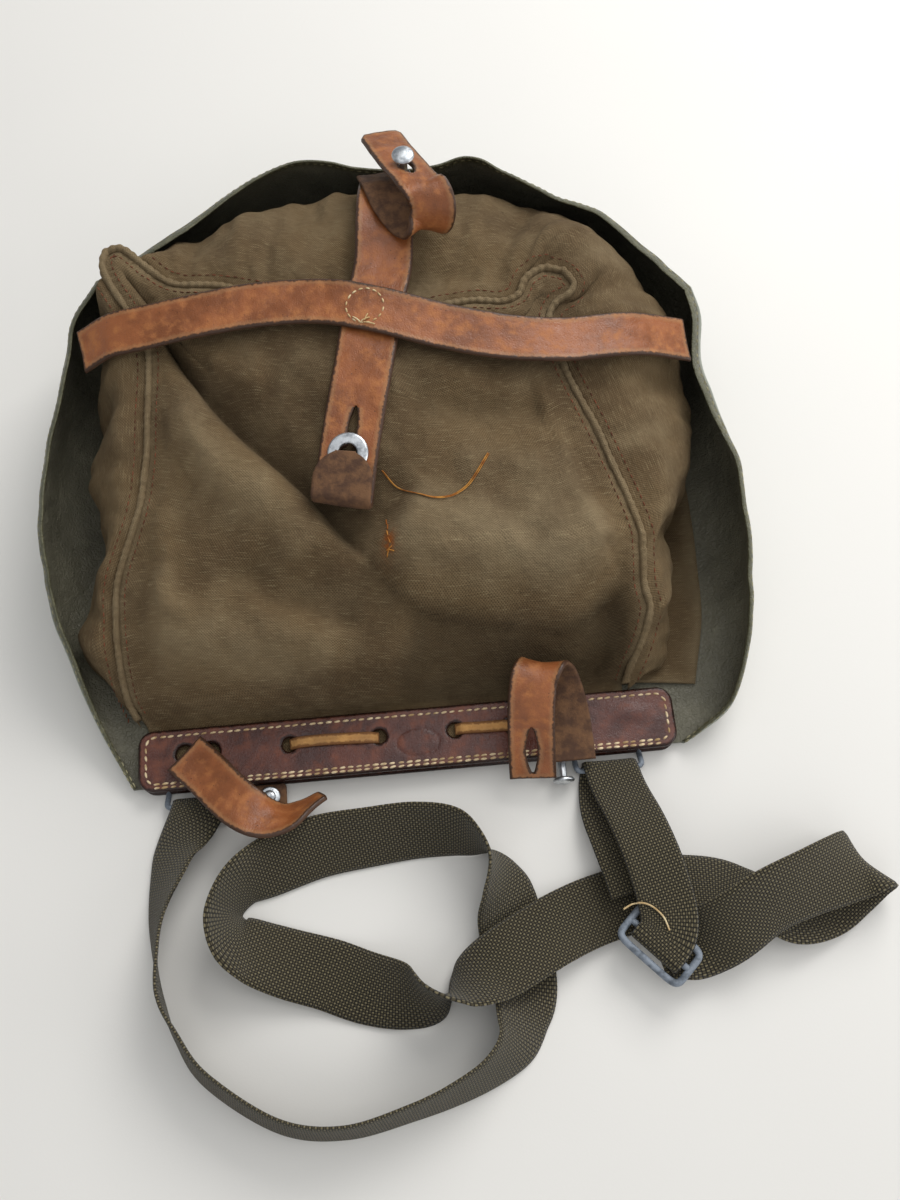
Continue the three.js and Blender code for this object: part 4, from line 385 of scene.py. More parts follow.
def leaf(name, grid, thickness, material, uv, edge, round_over=0.9, keep=None, fields=None, flip=False):
    """A sheet of one thickness: the grid is its middle, each face lies half the thickness along
    the normal, the edge thins to a round lip over round_over, and a wall closes every border.
    keep marks the grid's cells that stay, and edge is each point's distance to the border."""
    rows, cols = grid.shape[:2]
    keep = np.ones((rows - 1, cols - 1), bool) if keep is None else keep
    near = np.clip(edge / round_over, 0, 1)
    half = thickness / 2 * (0.35 + 0.65 * np.sqrt(1 - (1 - near) ** 2))
    normal = grid_normals(grid) * (-1 if flip else 1)
    upper = grid + normal * half[..., None]
    lower = grid - normal * half[..., None]
    index = np.arange(rows * cols).reshape(rows, cols)
    count = rows * cols
    a, b, c, d = index[:-1, :-1], index[:-1, 1:], index[1:, 1:], index[1:, :-1]
    top = np.stack([a, b, c, d], -1)[keep]
    under = np.stack([a, d, c, b], -1)[keep] + count
    walls = []
    framed = np.pad(keep, 1)
    sides = (
        (framed[:-2, 1:-1], a, b), (framed[1:-1, 2:], b, c),
        (framed[2:, 1:-1], c, d), (framed[1:-1, :-2], d, a),
    )
    for beyond, start, end in sides:
        open_side = keep & ~beyond
        start, end = start[open_side], end[open_side]
        walls.append(np.stack([end, start, start + count, end + count], -1))
    faces = np.concatenate([top, under] + walls)
    if flip:
        faces = faces[:, ::-1]
    verts = np.concatenate([upper.reshape(-1, 3), lower.reshape(-1, 3)])
    used, inverse = np.unique(faces, return_inverse=True)
    faces = inverse.reshape(faces.shape)
    data = {"edge": np.tile(edge.ravel(), 2) * MM, "face": np.repeat([1.0, 0.0], count)}
    for field, values in (fields or {}).items():
        data[field] = np.tile(np.asarray(values, float).ravel(), 2)
    data = {field: values[used] for field, values in data.items()}
    pairs = np.tile(uv.reshape(-1, 2), (2, 1))[used]
    return make_object(name, verts[used], faces, material, pairs, data)


def tree_of(*pieces):
    """A search tree over the faces of pieces, in mm, to find the height under a place."""
    verts, corners, start = [], [], 0
    for piece in pieces:
        mesh = piece.data
        mesh.calc_loop_triangles()
        places = np.empty(len(mesh.vertices) * 3)
        mesh.vertices.foreach_get("co", places)
        triangles = np.empty(len(mesh.loop_triangles) * 3, int)
        mesh.loop_triangles.foreach_get("vertices", triangles)
        verts.append(places.reshape(-1, 3) / MM)
        corners.append(triangles.reshape(-1, 3) + start)
        start += len(mesh.vertices)
    return BVHTree.FromPolygons(np.concatenate(verts).tolist(), np.concatenate(corners).tolist())


def height_at(tree, x, y, start=400.0, fallback=0.0):
    """Height in mm of the first face below a place, and its normal."""
    place, normal, _, _ = tree.ray_cast(Vector((x, y, start)), Vector((0, 0, -1)))
    if place is None:
        return fallback, np.array([0.0, 0.0, 1.0])
    return place.z, np.array(normal)


# Shapes of the bag's own pieces


def wall_shape(s):
    """The flap's wall at s round its rim: the way out from the heart, the rim's distance and
    height, the bend's radius, the widest line's distance and its height."""
    rim = loop_reader(RIM, WALL_HEIGHT)(s)
    way = rim[:, :3] - HEART
    way[:, 2] = 0
    reach = np.linalg.norm(way, axis=1)
    height = rim[:, 2]
    radius = WALL_RADIUS * np.minimum(1, height / (0.55 * WALL_HEIGHT))
    return unit(way), reach, height, radius, reach + rim[:, 3] * WALL_RADIUS, 0.46 * height


def flap_lift(y):
    """How far the leather backing lifts the flap's floor: held past the yoke, then sinking."""
    return FLAP_LIFT * (1 - smoothstep((y - FAR_OF_YOKE - 26) / 44))


def floor_height(x, y):
    """Height of the flap at places inside its wall: flat, then the quarter round of the bend."""
    s = np.linspace(0, 1, 721)
    way, _, _, radius, widest, belly = wall_shape(s)
    fan = np.arctan2(way[:, 1], way[:, 0])
    heading = np.arctan2(np.maximum(y - HEART[1], 0), x - HEART[0])
    order = np.argsort(fan)
    read = [np.interp(heading, fan[order], a[order]) for a in (radius, widest, belly)]
    into = np.clip((np.hypot(x - HEART[0], y - HEART[1]) - (read[1] - read[0])) / read[0], 0, 1)
    return flap_lift(y) + read[2] * (1 - np.sqrt(1 - into**2))


def inside_wall(p, clearance):
    """Points drawn towards the heart until they stand clear of the wall's inner face."""
    s = np.linspace(0, 1, 721)
    way, rim, height, radius, widest, belly = wall_shape(s)
    fan = np.arctan2(np.maximum(way[:, 1], 0), way[:, 0])
    order = np.argsort(fan)
    aside = p - HEART
    aside[..., 2] = 0
    heading = np.arctan2(np.maximum(aside[..., 1], 0), aside[..., 0])
    rim, height, radius, widest, belly = (
        np.interp(heading, fan[order], a[order]) for a in (rim, height, radius, widest, belly)
    )
    z = np.maximum(p[..., 2], 0)
    low = widest - radius * (1 - np.sqrt(np.clip(1 - (1 - z / belly) ** 2, 0, 1)))
    lean = 1.1
    turn = np.arcsin(np.clip((z - belly) / (height - belly), 0, 1) * math.sin(lean))
    high = widest - (widest - rim) * (1 - np.cos(turn)) / (1 - math.cos(lean))
    slant = 1 + 1.4 * smoothstep(z / height)
    most = np.where(z <= belly, low, high) - FLAP_THICKNESS * slant - clearance
    reach = np.linalg.norm(aside, axis=-1)
    back = np.minimum(most - reach, 0)
    return p + unit(aside) * back[..., None]


def flap_surface(rings):
    """The flap as half a square of rings round its heart, which lies on the near edge: the
    inner rings make the floor, the outer ones turn up a quarter round and lean back in."""
    j, i = np.mgrid[0 : rings + 1, -rings : rings + 1]
    ring = np.maximum(np.abs(i), j)
    safe = np.maximum(ring, 1)
    s = np.where(i == -ring, 0.25 * j / safe, 0.25 + 0.25 * (i + ring) / safe)
    s = np.where((i == ring) & (ring > 0), 1 - 0.25 * j / safe, s)
    s = np.where(ring == 0, 0.5, s)
    share = (ring / rings).ravel()
    floor_end = 0.42
    way, rim, height, radius, widest, belly = wall_shape(s.ravel())
    floor_share = np.minimum(share / floor_end, 1)
    up = np.clip((share - floor_end) / (1 - floor_end), 0, 1)
    lean = 1.1
    turn = np.clip((up - 0.5) * 2, 0, 1) * lean
    reach = (widest - radius) * floor_share + radius * np.sin(np.minimum(up, 0.5) * math.pi)
    z = belly * (1 - np.cos(np.minimum(up, 0.5) * math.pi))
    high = up > 0.5
    reach = np.where(high, widest - (widest - rim) * (1 - np.cos(turn)) / (1 - math.cos(lean)), reach)
    z = np.where(high, belly + (height - belly) * np.sin(turn) / math.sin(lean), z)
    p = HEART + way * reach[:, None]
    p[:, 2] = z + flap_lift(p[:, 1])
    unrolled = way[:, :2] * (reach + z)[:, None]
    shape = ring.shape
    return p.reshape(shape + (3,)), unrolled.reshape(shape + (2,)), share.reshape(shape), s


def seam_aside(side, t, way):
    """The seam's line moved aside in plan: a positive way is out of the panel."""
    read = side_reader(SEAM[side], POUCH_DEPTH)
    heading = read(np.minimum(t + 0.01, 1)) - read(np.maximum(t - 0.01, 0))
    heading[:, 2] = 0
    heading = unit(heading)
    return read(t) + way * np.stack([-heading[:, 1], heading[:, 0], np.zeros(len(t))], -1)


def route_distance(p, route):
    """Signed distance of points to a route of short straight runs, positive on its left, and
    the share of the route's length at the nearest place."""
    route = np.asarray(route, float)
    runs = np.diff(route, axis=0)
    lengths = np.linalg.norm(runs, axis=1)
    before = np.concatenate([[0], np.cumsum(lengths)])
    best = np.full(p.shape[:-1], np.inf)
    signed = np.zeros(p.shape[:-1])
    share = np.zeros(p.shape[:-1])
    for start, run, length, gone in zip(route, runs, lengths, before):
        t = np.clip(((p - start) @ run) / length**2, 0, 1)
        off = p - (start + t[..., None] * run)
        far = np.linalg.norm(off, axis=-1)
        left = np.sign(run[0] * off[..., 1] - run[1] * off[..., 0])
        nearer = far < best
        best = np.where(nearer, far, best)
        signed = np.where(nearer, far * left, signed)
        share = np.where(nearer, (gone + t * length) / before[-1], share)
    return signed, share


PANEL_SPAN = np.array([205.0, 200.0])  # the rear panel's middle width and length in mm


def fold_relief(u, v):
    """Relief of the rear panel's folds in mm: each is a bell or a sharp crease across its route,
    with its own width on each side, fading out past its two ends."""
    p = np.stack([u, v], -1) * PANEL_SPAN
    p = p + 2.2 * np.stack([ripple(p, 46, 11), ripple(p, 46, 12)], -1)
    relief = np.zeros(u.shape)
    for kind, height, right, left, route in FOLDS:
        d, share = route_distance(p, np.asarray(route) * PANEL_SPAN)
        width = np.where(d > 0, left, right)
        if kind == "crease":
            shape = np.exp(-(np.sqrt((d / width) ** 2 + 0.01) - 0.1))
        else:
            shape = np.exp(-((d / width) ** 2))
        fade = smoothstep(share / 0.16 + 0.1) * smoothstep((1 - share) / 0.16 + 0.1)
        relief += height * shape * fade
    return relief


def panel_surface(columns, rows):
    """The rear panel as a patch hung between the seam's three sides and the yoke, crowned in
    the middle, with the folds' relief and a fine wrinkling on top."""
    u, v = np.meshgrid(np.linspace(0, 1, columns + 1), np.linspace(0, 1, rows + 1) ** 1.15)
    flat_u, flat_v = u.ravel(), v.ravel()
    inset = -(SEAM_WIDTH / 2 - 0.4)
    one = np.ones_like(flat_u)
    left, right = seam_aside("left", flat_v, inset), seam_aside("right", 1 - flat_v, inset)
    far = seam_aside("far", flat_u, inset)
    far_left, far_right = seam_aside("left", one, inset), seam_aside("right", 0 * one, inset)
    a, b = flat_u[:, None], flat_v[:, None]
    p = left * (1 - a) + right * a + far * b - (far_left * (1 - a) + far_right * a) * b
    near_rise = 0.3 + 0.8 * smoothstep((flat_u - 0.42) / 0.3)
    swell = np.sin(math.pi * flat_u) ** 0.7 * flat_v**near_rise * (1 - flat_v) ** 0.55 * 1.9
    fade = smoothstep(flat_u / 0.07) * smoothstep((1 - flat_u) / 0.07)
    fade = fade * smoothstep(flat_v / 0.06) * smoothstep((1 - flat_v) / 0.06)
    relief = 1.6 * fold_relief(u, v).ravel() * fade
    span = np.stack([flat_u, flat_v], -1) * PANEL_SPAN
    fine = 0.9 * ripple(span, 30, 3) + 0.4 * ripple(span, 13, 4)
    p[:, 2] += POUCH_DEPTH * PANEL_CROWN * swell + relief + fine * fade
    pucker = np.minimum(np.minimum(flat_u, 1 - flat_u) * 205, (1 - flat_v) * 200)
    p[:, 2] += 0.5 * np.exp(-(((pucker - 4) / 4) ** 2)) * ripple(span, 7, 5)
    hold = 1 - smoothstep((p[:, 1] - FAR_OF_YOKE - 3) / 9)
    p[:, 2] += (UNDER_YOKE - 0.75 - p[:, 2]) * hold
    edge = np.minimum(np.minimum(flat_u, 1 - flat_u) * 205, np.minimum(flat_v, 1 - flat_v) * 200)
    return p.reshape(u.shape + (3,)), (span * MM).reshape(u.shape + (2,)), edge.reshape(u.shape)


def gusset_surface(around, down):
    """The gusset as rows from the seam over the swell to a foot on the front panel, smoothed
    down each row, with lumps, hollows and wrinkles that fade at the seam."""
    read_seam = loop_reader(SEAM, POUCH_DEPTH)
    read_swell = loop_reader(GUSSET, POUCH_DEPTH)
    s = np.linspace(0.026, 0.974, around + 1)
    seam = read_seam(s)
    heading = read_seam(np.minimum(s + 0.004, 1)) - read_seam(np.maximum(s - 0.004, 0))
    heading[:, 2] = 0
    heading = unit(heading)
    top = seam + np.stack([-heading[:, 1], heading[:, 0], 0 * s], -1) * (SEAM_WIDTH / 2 - 0.4)
    wide = inside_wall(read_swell((s - 0.026) / 0.948), 3.1)
    out = wide - HEART
    out[:, 2] = 0
    out = unit(out)
    foot = wide - out * 7
    foot[:, 2] = floor_height(foot[:, 0], foot[:, 1]) + 2.4
    crown = (top + wide) / 2
    crown[:, 2] = np.maximum(top[:, 2], wide[:, 2]) * 0.5 + (top[:, 2] + wide[:, 2]) * 0.25
    crown[:, 2] += 0.06 * POUCH_DEPTH
    belly = wide * 0.55 + foot * 0.45 + out * 5.6
    t = np.linspace(0, 1, down + 1)
    rows = np.stack([top, crown, wide, belly, foot]).reshape(5, -1)
    p = smooth(rows, t).reshape(down + 1, around + 1, 3).transpose(1, 0, 2)
    steps = np.linalg.norm(np.diff(p, axis=1), axis=2)
    deep = np.concatenate([np.zeros((around + 1, 1)), np.cumsum(steps, axis=1)], axis=1)
    long = np.concatenate([[0], np.cumsum(np.linalg.norm(np.diff(wide, axis=0), axis=1))])
    along = np.repeat(long[:, None], down + 1, axis=1)
    span = np.stack([along, deep], -1)
    normal = -grid_normals(p)
    relief = 1.8 * ripple(span * [1, 0.45], 30, 21) + 0.8 * ripple(span * [1, 0.6], 13, 22)
    total = long[-1]
    for height, wide_along, wide_down, at, depth_share in GUSSET_LUMPS:
        off_along = (along - at * total) / wide_along
        off_down = (deep - depth_share * deep[:, -1:]) / wide_down
        off = off_along**2 + off_down**2
        relief += 1.3 * height * np.exp(-off)
    fade = smoothstep(deep / 12 + 0.05) * smoothstep((deep[:, -1:] - deep) / 14)
    p = inside_wall(p + normal * (relief * fade)[..., None], 2.2)
    edge = np.minimum(deep, deep[:, -1:] - deep)
    edge = np.minimum(edge, np.minimum(along, total - along))
    return p, span * MM, edge


def ribbon_stations(rows, count):
    """Middles and cross lines of a ribbon from rows of x, y, z, across and tilt, smoothed."""
    t = np.linspace(0, 1, count)
    values = smooth(rows, t)
    turn, rise = np.radians(values[:, 3]), np.radians(values[:, 4])
    across = np.stack([np.cos(rise) * np.cos(turn), np.cos(rise) * np.sin(turn), np.sin(rise)], -1)
    return values[:, :3], across


def ribbon_surface(middle, across, width, columns, openings=(), share=None):
    """A ribbon carried along its middles: columns across it, square to the heading. Openings
    are (start, end, half width, power): the columns part round them, wide in the middle of the
    opening and pointed for a high power. Returns the grid, the lengths, the edge and the cells
    that stay."""
    heading = unit(np.gradient(middle, axis=0))
    across = unit(across - heading * np.sum(across * heading, axis=1, keepdims=True))
    along = np.concatenate([[0], np.cumsum(np.linalg.norm(np.diff(middle, axis=0), axis=1))])
    half = np.full(len(middle), width / 2) * (1 if share is None else share)
    lines = np.linspace(-1, 1, columns)[None, :] * half[:, None]
    gap = np.zeros(len(middle))
    for start, end, open_half, power in openings:
        at = np.clip((along - start) / (end - start), 0, 1)
        gap = np.maximum(gap, open_half * np.sin(math.pi * at) ** power)
    lines = np.sign(lines) * (gap[:, None] + np.abs(lines) * (1 - gap / half)[:, None])
    grid = middle[:, None, :] + across[:, None, :] * lines[..., None]
    keep = np.ones((len(middle) - 1, columns - 1), bool)
    keep[:, columns // 2 - 1] = (gap[:-1] < 0.25) & (gap[1:] < 0.25)
    ends = np.minimum(along, along[-1] - along)[:, None]
    inner = np.where(gap[:, None] > 0.25, np.abs(lines) - gap[:, None], width)
    edge = np.minimum(np.minimum(half[:, None] - np.abs(lines), ends + 0.01), np.maximum(inner, 0))
    lengths = np.stack([np.repeat(along[:, None], columns, 1), lines], -1)
    return grid, lengths, np.maximum(edge, 0), keep


def lay_on(tree, middle, across, width, thickness):
    """Lifts a ribbon's middles until it clears what lies under it, then evens out the lifts."""
    lifts = []
    for place, way in zip(middle, across):
        flat = max(math.hypot(way[0], way[1]), 0.5)
        heights = []
        for share in (-0.5, -0.25, 0, 0.25, 0.5):
            x, y = place[0] + way[0] * width * share, place[1] + way[1] * width * share
            heights.append(height_at(tree, x, y)[0] - way[2] * width * share)
        lifts.append(max(0.0, max(heights) + LAY_GAP + thickness / 2 / flat - place[2]))
    lifts = np.array(lifts)
    padded = np.pad(lifts, 6, mode="edge")
    raised = np.array([padded[i : i + 13].max() for i in range(len(lifts))])
    padded = np.pad(raised, 9, mode="edge")
    out = middle.copy()
    out[:, 2] += np.array([padded[i : i + 19].mean() for i in range(len(lifts))])
    return out


def rounded_plate(length, width, corner, step):
    """A flat grid of a plate with rounded corners: a square's corner is drawn to a quarter
    round. Returns x and y, and each point's distance to the border."""
    a = np.linspace(-1, 1, int(length / step) + 1)
    b = np.linspace(-1, 1, int(width / step) + 1)
    x, y = np.meshgrid(a * length / 2, b * width / 2, indexing="ij")
    p = np.clip((np.abs(x) - (length / 2 - corner)) / corner, 0, 1)
    q = np.clip((np.abs(y) - (width / 2 - corner)) / corner, 0, 1)
    both = (p > 0) & (q > 0)
    x = np.where(both, np.sign(x) * (length / 2 - corner + corner * p * np.sqrt(1 - q**2 / 2)), x)
    y = np.where(both, np.sign(y) * (width / 2 - corner + corner * q * np.sqrt(1 - p**2 / 2)), y)
    edge = np.minimum(length / 2 - np.abs(x), width / 2 - np.abs(y))
    round_edge = corner * (1 - np.hypot(p * np.sqrt(1 - q**2 / 2), q * np.sqrt(1 - p**2 / 2)))
    return x, y, np.maximum(np.where(both, round_edge, edge), 0)


def punch(x, y, edge, keep, centre, radius):
    """A round hole: points inside it move out to its border, and cells that fall in it go."""
    dx, dy = x - centre[0], y - centre[1]
    far = np.hypot(dx, dy)
    inside = far < radius
    scale = np.where(inside, radius / np.maximum(far, 0.05), 1)
    x, y = centre[0] + dx * scale, centre[1] + dy * scale
    gone = inside[:-1, :-1] & inside[1:, :-1] & inside[:-1, 1:] & inside[1:, 1:]
    edge = np.minimum(edge, np.maximum(far - radius, 0))
    return x, y, edge, keep & ~gone


def lathe(profile, sides, start=(0, 0, 0), axis=(0, 0, 1)):
    """A solid of revolution: rows of radius and height turned round an axis, closed where the
    radius is zero."""
    profile = np.asarray(profile, float)
    turn = np.arange(sides) * 2 * math.pi / sides
    up = unit(np.asarray(axis, float))
    side = unit(np.cross(up, [0.31, 0.9, 0.2]))
    other = np.cross(up, side)
    ring = side[None] * np.cos(turn)[:, None] + other[None] * np.sin(turn)[:, None]
    verts = np.asarray(start, float) + profile[:, None, :1] * ring[None] + profile[:, None, 1:] * up
    rows = len(profile)
    index = np.arange(rows * sides).reshape(rows, sides)
    a, b = index[:-1], index[1:]
    faces = np.stack([a, np.roll(a, -1, 1), np.roll(b, -1, 1), b], -1).reshape(-1, 4)
    return verts.reshape(-1, 3), faces


def dense_profile(rows, step=0.25):
    """A lathe profile with its straight runs cut into short ones, so that shading stays true."""
    rows = np.asarray(rows, float)
    out = [rows[:1]]
    for a, b in zip(rows[:-1], rows[1:]):
        cuts = max(1, int(np.linalg.norm(b - a) / step))
        out.append(a + (b - a) * np.linspace(0, 1, cuts + 1)[1:, None])
    return np.concatenate(out)


def tube(path, radius, sides=10, closed=False, flat=1.0):
    """A round wire along a path: a circle carried square to the heading, with capped ends."""
    path = np.asarray(path, float)
    if closed:
        heading = unit(np.roll(path, -1, 0) - np.roll(path, 1, 0))
    else:
        heading = unit(np.gradient(path, axis=0))
    up = np.array([0.05, 0.03, 1.0])
    side = unit(np.cross(heading, up))
    over = np.cross(side, heading)
    radius = np.broadcast_to(np.asarray(radius, float), len(path))[:, None, None]
    turn = np.arange(sides) * 2 * math.pi / sides
    ring = side[:, None] * np.cos(turn)[None, :, None] + over[:, None] * np.sin(turn)[None, :, None] * flat
    verts = (path[:, None] + ring * radius).reshape(-1, 3)
    index = np.arange(len(path) * sides).reshape(len(path), sides)
    if closed:
        index = np.concatenate([index, index[:1]])
    a, b = index[:-1], index[1:]
    faces = np.stack([a, b, np.roll(b, -1, 1), np.roll(a, -1, 1)], -1).reshape(-1, 4)
    if not closed:
        caps = len(verts) + np.arange(2)
        verts = np.concatenate([verts, path[[0, -1]]])
        first, last = index[0], index[-1]
        near = np.stack([first, np.roll(first, -1), np.full(sides, caps[0]), np.full(sides, caps[0])], -1)
        far = np.stack([np.roll(last, -1), last, np.full(sides, caps[1]), np.full(sides, caps[1])], -1)
        return verts, [list(f) for f in faces] + [list(f[:3]) for f in near] + [list(f[:3]) for f in far]
    return verts, faces


def stitches(path, normal, pitch, length, width, rise=0.5, sink=0.15, skew=0.0, seed=1):
    """Thread seen on a surface: one short spindle for each stitch, laid along the path. Each is
    a round bead drawn out to its length, humped along the normal and sunk at its two ends."""
    path, normal = np.asarray(path, float), unit(np.asarray(normal, float))
    gone = np.concatenate([[0], np.cumsum(np.linalg.norm(np.diff(path, axis=0), axis=1))])
    at = np.arange(pitch / 2, gone[-1], pitch)
    rng = np.random.default_rng(seed)
    at = at + rng.uniform(-0.08, 0.08, len(at)) * pitch
    middle = np.stack([np.interp(at, gone, path[:, k]) for k in range(3)], -1)
    up = unit(np.stack([np.interp(at, gone, normal[:, k]) for k in range(3)], -1))
    ahead = np.stack([np.interp(at + 0.5, gone, path[:, k]) for k in range(3)], -1)
    behind = np.stack([np.interp(at - 0.5, gone, path[:, k]) for k in range(3)], -1)
    way = unit(ahead - behind)
    way = unit(way - up * np.sum(way * up, axis=1, keepdims=True))
    side = np.cross(up, way)
    turned = skew + rng.normal(0, 0.05, len(at))
    way, side = (
        way * np.cos(turned)[:, None] + side * np.sin(turned)[:, None],
        side * np.cos(turned)[:, None] - way * np.sin(turned)[:, None],
    )
    steps, sides = 7, 6
    t = np.linspace(-1, 1, steps)
    round_ = np.sqrt(np.maximum(1 - t**2 * 0.92, 0.08))
    turn = np.arange(sides) * 2 * math.pi / sides
    along = t[:, None] * length / 2 + 0 * turn[None]
    across = round_[:, None] * np.cos(turn)[None] * width / 2
    over = round_[:, None] * np.sin(turn)[None] * width / 2
    over = over + (rise * width * (1 - t**2) - sink)[:, None]
    size = rng.uniform(0.9, 1.08, len(at))[:, None, None, None]
    verts = middle[:, None, None] + size * (
        way[:, None, None] * along[None, :, :, None]
        + side[:, None, None] * across[None, :, :, None]
        + up[:, None, None] * over[None, :, :, None]
    )
    index = np.arange(steps * sides).reshape(steps, sides)
    a, b = index[:-1], index[1:]
    body = np.stack([a, np.roll(a, -1, 1), np.roll(b, -1, 1), b], -1).reshape(-1, 4)
    caps = [[index[0, k] for k in (0, 5, 4, 3)], [index[0, k] for k in (0, 3, 2, 1)]]
    caps += [[index[-1, k] for k in (0, 1, 2, 3)], [index[-1, k] for k in (0, 3, 4, 5)]]
    faces = np.concatenate([body, np.array(caps)])
    all_faces = (faces[None] + (np.arange(len(at)) * steps * sides)[:, None, None]).reshape(-1, 4)
    return verts.reshape(-1, 3), all_faces


def joined(name, parts, material):
    """One object of several vertex and face lists."""
    verts, faces, start = [], [], 0
    for part_verts, part_faces in parts:
        verts.append(np.asarray(part_verts))
        faces.extend([[start + int(i) for i in f] for f in part_faces])
        start += len(part_verts)
    return make_object(name, np.concatenate(verts), faces, material)


# Materials


def hexed(code, alpha=1.0):
    """An sRGB hex colour as the linear values that shaders take."""
    parts = [int(code[i : i + 2], 16) / 255 for i in (1, 3, 5)]
    return tuple(c / 12.92 if c <= 0.04045 else ((c + 0.055) / 1.055) ** 2.4 for c in parts) + (alpha,)


COLOUR = {"data_type": "RGBA"}
SMOOTH = {"interpolation_type": "SMOOTHSTEP"}


def add_node(tree, kind, *values, out=None, **named):
    """Adds one node and returns its output, the first one or the one named by out. The values go
    to its open sockets in order. A named value goes to the socket of that label, with _ for a
    space, and a name in small letters is a property of the node."""
    made = tree.nodes.new("ShaderNode" + kind)
    for key, value in named.items():
        if key.islower():
            setattr(made, key, value)
    pairs = list(zip([socket for socket in made.inputs if socket.enabled], values))
    pairs += [(made.inputs[key.replace("_", " ")], v) for key, v in named.items() if not key.islower()]
    for socket, value in pairs:
        if isinstance(value, bpy.types.NodeSocket):
            tree.links.new(value, socket)
        else:
            socket.default_value = value
    if out:
        return made.outputs[out]
    return next((socket for socket in made.outputs if socket.enabled), None)


def new_material(name):
    """An empty node material, and the function that adds nodes to it."""
    made = bpy.data.materials.new(name)
    made.use_nodes = True
    made.node_tree.nodes.clear()
    return made, partial(add_node, made.node_tree)


def finished(made, add, colour, rough, bump, **finish):
    """Ends a material in one principled shader and its output."""
    shader = add("BsdfPrincipled", Base_Color=colour, Roughness=rough, Normal=bump, **finish)
    add("OutputMaterial", shader)
    return made


def canvas_material(name):
    """Washed cotton duck in plain weave: matt, with slubs, faded high places, dirty patches and painted shade
    in the dips of its folds.
    """
    made, add = new_material(name)
    place = add("TexCoord", out="Object")
    lay = add("UVMap", uv_map="lay")
    wobble = add("TexNoise", lay, 90, 1.0)
    along = add("SeparateXYZ", lay)
    across = along.node.outputs["Y"]
    pitch = 2 * math.pi / 0.0011  # thread spacing 0.55 mm, drawn at 1.1 mm so that it shows
    warp_at = add(
        "Math", along, pitch, add("Math", wobble, 5.0, operation="MULTIPLY"), operation="MULTIPLY_ADD"
    )
    weft_at = add(
        "Math", across, pitch, add("Math", wobble, 5.0, operation="MULTIPLY"), operation="MULTIPLY_ADD"
    )
    warp, weft = (add("Math", warp_at, operation="SINE"), add("Math", weft_at, operation="SINE"))
    weave = add("Math", warp, weft, operation="MULTIPLY")
    slub_across = add(
        "TexNoise", add("VectorMath", lay, (150, 2300, 1), operation="MULTIPLY"), 1.0, 3.0, 0.6
    )
    slub_along = add(
        "TexNoise", add("VectorMath", lay, (2300, 170, 1), operation="MULTIPLY"), 1.0, 3.0, 0.6
    )
    cloudy = add("TexNoise", place, 16, 4.0, 0.6)
    patch = add("TexNoise", place, 55, 3.0, 0.55)
    colour = add(
        "Mix", add("MapRange", cloudy, 0.32, 0.68, **SMOOTH), hexed("#56442E"), tone("canvas_colour"),
        **COLOUR
    )
    colour = add(
        "Mix", add("MapRange", patch, 0.4, 0.75, 0, 0.45, **SMOOTH), colour, hexed("#7E6C50"), **COLOUR
    )
    colour = add(
        "Mix", add("MapRange", slub_across, 0.54, 0.7, 0, 0.5, **SMOOTH), colour, hexed("#9A8A69"),
        **COLOUR
    )
    colour = add(
        "Mix", add("MapRange", slub_along, 0.57, 0.72, 0, 0.38, **SMOOTH), colour, hexed("#8E7D5E"),
        **COLOUR
    )
    colour = add(
        "Mix", add("MapRange", slub_across, 0.46, 0.28, 0, 0.45, **SMOOTH), colour, hexed("#3D3121"),
        **COLOUR
    )
    colour = add(
        "Mix", add("MapRange", weave, 0.2, -0.8, 0, 0.55, **SMOOTH), colour, hexed("#33291C"), **COLOUR
    )
    worn = add("Attribute", attribute_name="worn", out="Fac")
    worn = add("Math", worn, add("MapRange", patch, 0.2, 0.6, 0.5, 1.0, **SMOOTH), operation="MULTIPLY")
    colour = add("Mix", worn, colour, hexed("#A08F70"), **COLOUR)
    # This mask darkens the canvas: dirty patches on the gusset, painted shade in the dips of the rear panel's
    # folds, and the whole front panel a little.
    dark = add("Attribute", attribute_name="soiled", out="Fac")
    colour = add("Mix", dark, colour, hexed("#20180D"), **COLOUR)
    rust = add("Attribute", attribute_name="rust", out="Fac")
    rust = add(
        "Math", rust, add("MapRange", add("TexNoise", place, 420, 3.0), 0.35, 0.6, 0.25, 1.0, **SMOOTH),
        operation="MULTIPLY"
    )
    colour = add("Mix", rust, colour, hexed("#8A4A18"), **COLOUR)
    height = add(
        "Math", slub_across, 0.9, add("Math", weave, 0.28, operation="MULTIPLY"),
        operation="MULTIPLY_ADD"
    )
    height = add("Math", slub_along, 0.6, height, operation="MULTIPLY_ADD")
    bump = add("Bump", Strength=0.75, Distance=0.00045, Height=height)
    crumple = add("TexNoise", place, 110, 3.0, 0.6)
    bump = add("Bump", Strength=0.7, Distance=0.0028, Height=crumple, Normal=bump)
    return finished(
        made, add, colour, 0.93, bump, Specular_IOR_Level=0.22, Sheen_Weight=0.12, Sheen_Roughness=0.5,
        Sheen_Tint=hexed("#B8A27C")
    )


